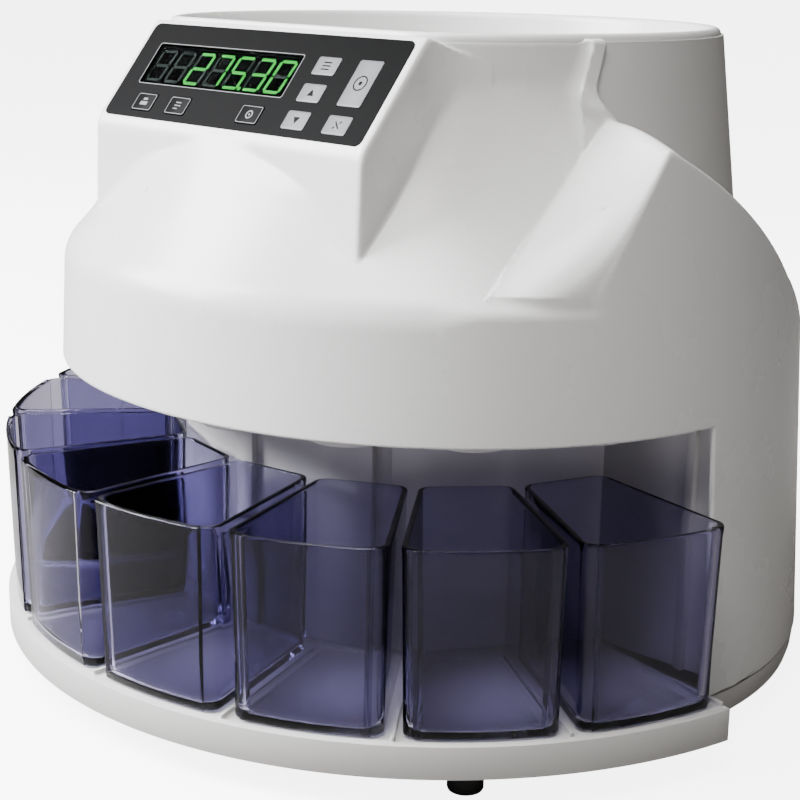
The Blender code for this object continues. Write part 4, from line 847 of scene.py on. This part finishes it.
for index, angle in enumerate((48.0, -48.0)):
    item = foot("foot_pad_front_%d" % (index + 1), polar(173.0, math.radians(angle)), 21.9)
    finish(item, RUBBER, nodes=["foot_front_%d" % (index + 1)], slot="rubber")
for index, side in enumerate((1, -1)):
    item = foot("foot_pad_rear_%d" % (index + 1), (side * 90.0, 95.0), 6.7)
    finish(item, RUBBER, nodes=["foot_rear_%d" % (index + 1)], slot="rubber")


# Base with its tray

def arc(radius, start, end, steps):
    return [polar(radius, start + (end - start) * i / steps) for i in range(steps + 1)]


def sector(inner, outer, half_angle):
    steps = 120
    return arc(outer, -half_angle, half_angle, steps) + arc(inner, half_angle, -half_angle, steps)


def pan_ring(inset, z, limit, rear):
    """Level outline of the base, cut straight in front and behind."""
    half_width, half_depth = body_axes(18.7)
    points = []
    for k in range(144):
        angle = 2 * math.pi * (k + 0.5) / 144
        x = (half_width - inset) * math.cos(angle)
        y = BODY_CENTRE_Y + (half_depth - inset) * math.sin(angle)
        points.append((x, min(max(y, limit), rear), z))
    return points


def base_with_tray():
    tray = prism("tray_with_base", sector(TRAY_INNER, TRAY_OUTER, TRAY_HALF_ANGLE), 12.0, 24.8)
    hollow = prism("tray_hollow", sector(TRAY_INNER + TRAY_WALL, TRAY_OUTER - TRAY_WALL,
                                         TRAY_HALF_ANGLE - TRAY_WALL_ANGLE), 5.0, 22.2)
    boolean(tray, hollow, "DIFFERENCE")
    pan = loft("pan", [pan_ring(inset, z, PAN_FRONT_Y, REAR_Y)
                       for inset, z in ((3.4, 7.0), (2.0, 8.2), (1.0, 11.5), (0.3, 18.7))], 0)
    bowl = loft("pan_space", [pan_ring(inset, z, PAN_FRONT_Y + 3.0, REAR_Y - 3.0)
                              for inset, z in ((7.0, 10.0), (3.0, 25.0))], 0)
    boolean(pan, bowl, "DIFFERENCE")
    boolean(tray, pan, "UNION")
    for index in range(CUPS + 1):
        limit = TRAY_HALF_ANGLE - RIB_ANGLE
        angle = min(max(cup_angle(index - 0.5), -limit), limit)
        start = 118.0 if 0 < index < CUPS else 160.0
        outline = rounded([(-0.75, -187.0), (0.75, -187.0), (0.75, -start), (-0.75, -start)], 0.7, 3)
        boolean(tray, prism("tray_rib", spun(outline, angle), 23.5, 26.4), "UNION")
    return bevel(tray, 0.55, 2, 42, False)


finish(base_with_tray(), WHITE_BASE, nodes=["base_tray"], slot="housing")

bay = copy_of("bay_wall", "bay_facets")
for side in (1, -1):
    outline = rounded([(side * 149.8, -20.2), (side * 153.9, -20.4), (side * 153.9, -16.0),
                       (side * 149.8, -16.0)], 0.5, 3)
    boolean(bay, prism("bay_rib", outline, 25.2, 149.0), "UNION")
finish(bevel(bay, 0.6, 2, 12), WHITE_MATTE, nodes=["bay_wall"], slot="housing")


# Panel pieces, drawn flat in mm and laid on the slope

PANEL_DOWN = Vector((0.0, -math.cos(PANEL_TILT), -math.sin(PANEL_TILT)))
PANEL_OUT = Vector((0.0, -math.sin(PANEL_TILT), math.cos(PANEL_TILT)))
PANEL_CORNER = Vector(PANEL_ORIGIN)


def panel_place(u, v, out):
    """A point of the panel in the frame."""
    point = PANEL_CORNER + Vector((u, 0.0, 0.0)) + PANEL_DOWN * v + PANEL_OUT * out
    return (point + Vector((0.0, AXIS_Y, 0.0))) / 1000.0


def on_panel(name, outlines, low, high, edge=0.0):
    """A plate on the panel from closed (u, v) outlines, from one height to another."""
    curve = bpy.data.curves.new(name, "CURVE")
    curve.dimensions = "2D"
    curve.fill_mode = "BOTH"
    curve.extrude = max((high - low) / 2 - edge, 0.0)
    curve.bevel_depth = edge
    curve.bevel_resolution = 2
    curve.offset = -edge
    for outline in outlines:
        spline = curve.splines.new("POLY")
        spline.points.add(len(outline) - 1)
        for point, (u, v) in zip(spline.points, outline):
            point.co = (u, v, 0.0, 1.0)
        spline.use_cyclic_u = True
    flat = added(name + "_flat", curve)
    bpy.context.view_layer.update()
    graph = bpy.context.evaluated_depsgraph_get()
    mesh = bpy.data.meshes.new_from_object(flat.evaluated_get(graph), depsgraph=graph)
    bpy.data.objects.remove(flat, do_unlink=True)
    mesh.name = name
    middle = (low + high) / 2
    for vertex in mesh.vertices:
        vertex.co = panel_place(vertex.co.x, vertex.co.y, middle + vertex.co.z)
    item = outward(added(name, mesh))
    mesh.materials.clear()
    item.data.shade_smooth()
    item.data.set_sharp_from_angle(angle=math.radians(30))
    return item


def bar(centre_u, centre_v, width, height):
    return [(centre_u - width / 2, centre_v - height / 2), (centre_u + width / 2, centre_v - height / 2),
            (centre_u + width / 2, centre_v + height / 2), (centre_u - width / 2, centre_v + height / 2)]


def ring(centre_u, centre_v, radius, steps=24):
    angles = [2 * math.pi * k / steps for k in range(steps)]
    return [(centre_u + radius * math.cos(angle), centre_v + radius * math.sin(angle)) for angle in angles]


def plate_outline(centre_u, centre_v, width, height, radius, steps=5):
    return rounded(bar(centre_u, centre_v, width, height), radius, steps)


def window_outline(growth, radius):
    """The display window's outline, made larger all round."""
    centre_u, centre_v, width, height = WINDOW_PLACE
    return plate_outline(centre_u, centre_v, width + growth, height + growth, radius)


# Middle of each key across and down the panel, and its height
KEY_WIDTH = 12.3
KEYS = {
    "key_batch": (113.8, 13.8, 8.1), "key_up": (113.8, 25.9, 8.1), "key_down": (113.8, 38.0, 8.1),
    "key_start": (135.9, 19.85, 20.2), "key_clear": (135.9, 38.0, 8.1), "key_print": (22.3, 38.0, 8.1),
    "key_report": (43.8, 38.0, 8.1), "key_set": (87.5, 38.0, 8.1)}
FILLED = ("key_batch", "key_up", "key_down", "key_start", "key_clear")
WINDOW_PLACE = (54.9, 19.4, 87.2, 18.4)
PANEL_TOP = 0.32
KEY_TOP = 0.62
PRINT = 0.05

holes = [window_outline(0.5, 0.9)]
holes += [plate_outline(u, v, KEY_WIDTH + 0.5, height + 0.5, 1.2) for u, v, height in KEYS.values()]
facing_outline = plate_outline(PANEL_SIZE[0] / 2, PANEL_SIZE[1] / 2, *PANEL_SIZE, 3.0, 8)
facing = on_panel("panel_facing", [facing_outline] + holes, -1.2, PANEL_TOP)
finish(facing, PANEL_BLACK, nodes=["panel_overlay"], slot="panel_black")
glass = on_panel("display_glass", [window_outline(0.0, 0.8)], -1.6, PANEL_TOP)
finish(glass, WINDOW, nodes=["display_window"], slot="window_smoke")
rim = on_panel("display_line", [window_outline(1.5, 1.3), window_outline(0.9, 1.1)],
               PANEL_TOP, PANEL_TOP + PRINT)
finish(rim, PRINT_GREY, slot="key_grey")


# Digits behind the window

SEGMENTS = {"0": "abcdef", "2": "abged", "3": "abgcd", "5": "afgcd", "7": "abc"}
READING = "  27530"
DIGIT_WIDTH = 8.5
DIGIT_HEIGHT = 14.0
DIGIT_STROKE = 1.25
DIGIT_SLANT = 0.10
DIGIT_GAP = 0.22
DIGIT_START_U = 12.0
DIGIT_PITCH = 12.2
DIGIT_TOP_V = 12.4
POINT_RADIUS = 0.85


def segment(u0, v0, letter):
    """Hexagon of one segment in a digit cell, with its slant."""
    half = DIGIT_STROKE / 2
    width, height = DIGIT_WIDTH, DIGIT_HEIGHT
    ends = {"a": ((0, 0), (width, 0)), "g": ((0, height / 2), (width, height / 2)),
            "d": ((0, height), (width, height)), "f": ((0, 0), (0, height / 2)),
            "e": ((0, height / 2), (0, height)), "b": ((width, 0), (width, height / 2)),
            "c": ((width, height / 2), (width, height))}[letter]
    start, end = Vector(ends[0]), Vector(ends[1])
    along = (end - start).normalized()
    across = Vector((-along.y, along.x)) * half
    start += along * DIGIT_GAP
    end -= along * DIGIT_GAP
    points = [start, start + along * half + across, end - along * half + across, end,
              end - along * half - across, start + along * half - across]
    return [(u0 + p.x + DIGIT_SLANT * (height - p.y), v0 + p.y) for p in points]


lit, unlit = [], []
for place, digit in enumerate(READING):
    for letter in "abcdefg":
        target = lit if digit != " " and letter in SEGMENTS[digit] else unlit
        target.append(segment(DIGIT_START_U + DIGIT_PITCH * place, DIGIT_TOP_V, letter))
lit.append(ring(DIGIT_START_U + DIGIT_PITCH * 5 - 2.1, DIGIT_TOP_V + DIGIT_HEIGHT - 0.1, POINT_RADIUS, 12))
finish(on_panel("digits_lit", lit, -1.95, -1.72), LED_ON, slot="window_smoke")
finish(on_panel("digits_unlit", unlit, -1.95, -1.75), LED_OFF, slot="window_smoke")


# Keys and their marks

SIGN_STROKE = 0.55


def turned_bar(centre_u, centre_v, length, angle):
    return [(centre_u + u, centre_v + v) for u, v in spun(bar(0.0, 0.0, length, SIGN_STROKE), angle)]


def key_marks(name, u, v):
    """Outlines of the sign on a key; one inside another cuts a hole."""
    if name == "key_up":
        return [[(u, v - 1.5), (u + 1.7, v + 1.3), (u - 1.7, v + 1.3)]]
    if name == "key_down":
        return [[(u, v + 1.5), (u - 1.7, v - 1.3), (u + 1.7, v - 1.3)]]
    if name == "key_start":
        return [ring(u, v, 3.3), ring(u, v, 2.75), ring(u, v, 0.85, 14)]
    if name == "key_clear":
        return [turned_bar(u, v, 4.0, math.pi / 4), turned_bar(u - 1.2, v + 1.2, 1.1, -math.pi / 4),
                turned_bar(u + 1.2, v - 1.2, 1.1, -math.pi / 4)]
    if name == "key_batch":
        return [bar(u, v + drop, 4.2, SIGN_STROKE) for drop in (-1.5, 0.0, 1.5)]
    if name == "key_print":
        return [bar(u, v + 0.7, 4.4, 1.6), bar(u, v - 1.3, 2.6, 1.0)]
    if name == "key_report":
        return [bar(u - 0.2, v - 1.4, 3.2, 0.45), bar(u, v, 3.6, 0.45), bar(u - 0.6, v + 1.4, 2.4, 0.45)]
    return [ring(u, v, 1.9, 18), ring(u, v, 1.3, 18), ring(u, v, 0.45, 10)]


for name, (u, v, height) in KEYS.items():
    body = name + "_body"
    cap = on_panel(name + "_cap", [plate_outline(u, v, KEY_WIDTH, height, 1.0)], -2.6, KEY_TOP, 0.25)
    finish(cap, KEY_GREY if name in FILLED else KEY_DARK, body=body, nodes=[name], slot="key_grey")
    if name not in FILLED:
        border = on_panel(name + "_border", [plate_outline(u, v, KEY_WIDTH - 0.6, height - 0.6, 0.9),
                                             plate_outline(u, v, KEY_WIDTH - 1.1, height - 1.1, 0.7)],
                          KEY_TOP, KEY_TOP + PRINT)
        finish(border, PRINT_GREY, body=body, slot="key_grey")
    marks = on_panel(name + "_mark", key_marks(name, u, v), KEY_TOP, KEY_TOP + PRINT + 0.01)
    finish(marks, KEY_DARK if name in FILLED else PRINT_GREY, body=body, slot="key_grey")


# Rear electrics and inner pieces keep their shapes, with better finishes

CARRIED = {
    "display_module": KEY_DARK, "control_board": BOARD, "sorting_plate": STEEL, "coin_ring": STEEL,
    "coin_fence": STEEL, "coin_guide": STEEL, "shaft_bearing": BRASS, "sensor_board": BOARD,
    "drive_belt": RUBBER, "motor": STEEL, "motor_shaft": STEEL, "motor_bracket": STEEL, "motor_pulley": DARK,
    "drive_pulley": DARK, "main_shaft": STEEL, "feed_disc": RUBBER, "disc_hub": DARK, "post_right": STEEL,
    "post_left": STEEL, "post_rear": STEEL, "supply_board": BOARD, "rear_panel": WHITE_MATTE,
    "power_inlet": DARK, "power_switch": DARK, "data_port": DARK}
for node, look in CARRIED.items():
    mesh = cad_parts[node].data
    mesh.materials.clear()
    mesh.materials.append(look)


# Studio: floor, lights and camera

FLOOR_Z = -0.0005
FLOOR_SIZE = 180.0
FLOOR_GLOW = 5.5
WORLD_SEEN = 6.5
WORLD_LIGHT = 0.05
MIDDLE_Z = 0.13


def camera_only(tree, shown, hidden, out):
    """The camera sees one shader, the light sees another."""
    rays = tree.nodes.new("ShaderNodeLightPath")
    mix = tree.nodes.new("ShaderNodeMixShader")
    link(tree, rays.outputs["Is Camera Ray"], mix.inputs["Fac"])
    link(tree, hidden, mix.inputs[1])
    link(tree, shown, mix.inputs[2])
    link(tree, mix.outputs["Shader"], out)


def emitter(tree, kind, strength):
    """White light from a node of a kind."""
    node = tree.nodes.new(kind)
    node.inputs["Color"].default_value = (1.0, 1.0, 1.0, 1.0)
    node.inputs["Strength"].default_value = strength
    return node.outputs[0]


floor_mesh = bpy.data.meshes.new("studio_floor")
floor_corners = [(x, y, FLOOR_Z) for x, y in bar(0.0, 0.0, FLOOR_SIZE, FLOOR_SIZE)]
floor_mesh.from_pydata(floor_corners, [], [(0, 1, 2, 3)])
floor = added("studio_floor", floor_mesh)
floor_look = material("floor_pale", (0.84, 0.84, 0.85), 0.7, mottle=0.003, mottle_scale=3.0)
floor_mesh.materials.append(floor_look)
tree = floor_look.node_tree
backlit = tree.nodes.new("ShaderNodeAddShader")
link(tree, tree.nodes["Principled BSDF"].outputs[0], backlit.inputs[0])
link(tree, emitter(tree, "ShaderNodeEmission", FLOOR_GLOW), backlit.inputs[1])
dull = tree.nodes.new("ShaderNodeBsdfDiffuse")
dull.inputs["Color"].default_value = (0.28, 0.27, 0.26, 1.0)
camera_only(tree, backlit.outputs[0], dull.outputs[0], tree.nodes["Material Output"].inputs["Surface"])

world = bpy.data.worlds.new("studio_world")
bpy.context.scene.world = world
world.use_nodes = True
tree = world.node_tree
camera_only(tree, emitter(tree, "ShaderNodeBackground", WORLD_SEEN),
            emitter(tree, "ShaderNodeBackground", WORLD_LIGHT), tree.nodes["World Output"].inputs["Surface"])


def area_light(name, azimuth, elevation, distance, size, power, colour):
    """A soft light that looks at the machine; azimuth counts from the front towards +X."""
    light = bpy.data.lights.new(name, "AREA")
    light.shape = "RECTANGLE"
    light.size, light.size_y = size
    light.energy = power
    light.color = colour
    item = added(name, light)
    a, e = math.radians(azimuth), math.radians(elevation)
    item.location = (distance * math.sin(a) * math.cos(e), -distance * math.cos(a) * math.cos(e),
                     MIDDLE_Z + distance * math.sin(e))
    item.rotation_euler = (Vector((0.0, 0.0, MIDDLE_Z)) - item.location).to_track_quat("-Z", "Y").to_euler()


area_light("key_light", -46.0, 32.0, 1.8, (1.0, 1.0), 140.0, (0.96, 0.975, 1.0))
area_light("top_light", 14.0, 66.0, 1.6, (0.8, 0.8), 35.0, (1.0, 0.985, 0.965))
area_light("fill_light", 70.0, 14.0, 2.2, (0.8, 1.2), 0.6, (1.0, 0.88, 0.78))

# Camera solved from the photo: focal length and optical middle in its pixels, place and angles
PHOTO_SIZE = 800.0
FOCAL = 1663.5
OPTICAL_MIDDLE = (445.7, 397.2)
SENSOR = 36.0
camera_data = bpy.data.cameras.new("camera")
camera_data.sensor_width = SENSOR
camera_data.lens = FOCAL / PHOTO_SIZE * SENSOR
camera_data.shift_x = (PHOTO_SIZE / 2 - OPTICAL_MIDDLE[0]) / PHOTO_SIZE
camera_data.shift_y = -(PHOTO_SIZE / 2 - OPTICAL_MIDDLE[1]) / PHOTO_SIZE
camera_data.clip_end = 60.0
camera = added("camera", camera_data)
yaw, pitch, roll = math.radians(-43.58), math.radians(14.92), math.radians(1.19)
ahead = Vector((math.sin(yaw) * math.cos(pitch), math.cos(yaw) * math.cos(pitch), -math.sin(pitch)))
right = Vector((math.cos(yaw), -math.sin(yaw), 0.0))
up = right.cross(ahead)
right, up = right * math.cos(roll) + up * math.sin(roll), up * math.cos(roll) - right * math.sin(roll)
turn = Matrix((right, up, -ahead)).transposed().to_4x4()
camera.matrix_world = Matrix.Translation((0.4993, -0.4949, 0.2931)) @ turn
bpy.context.scene.camera = camera
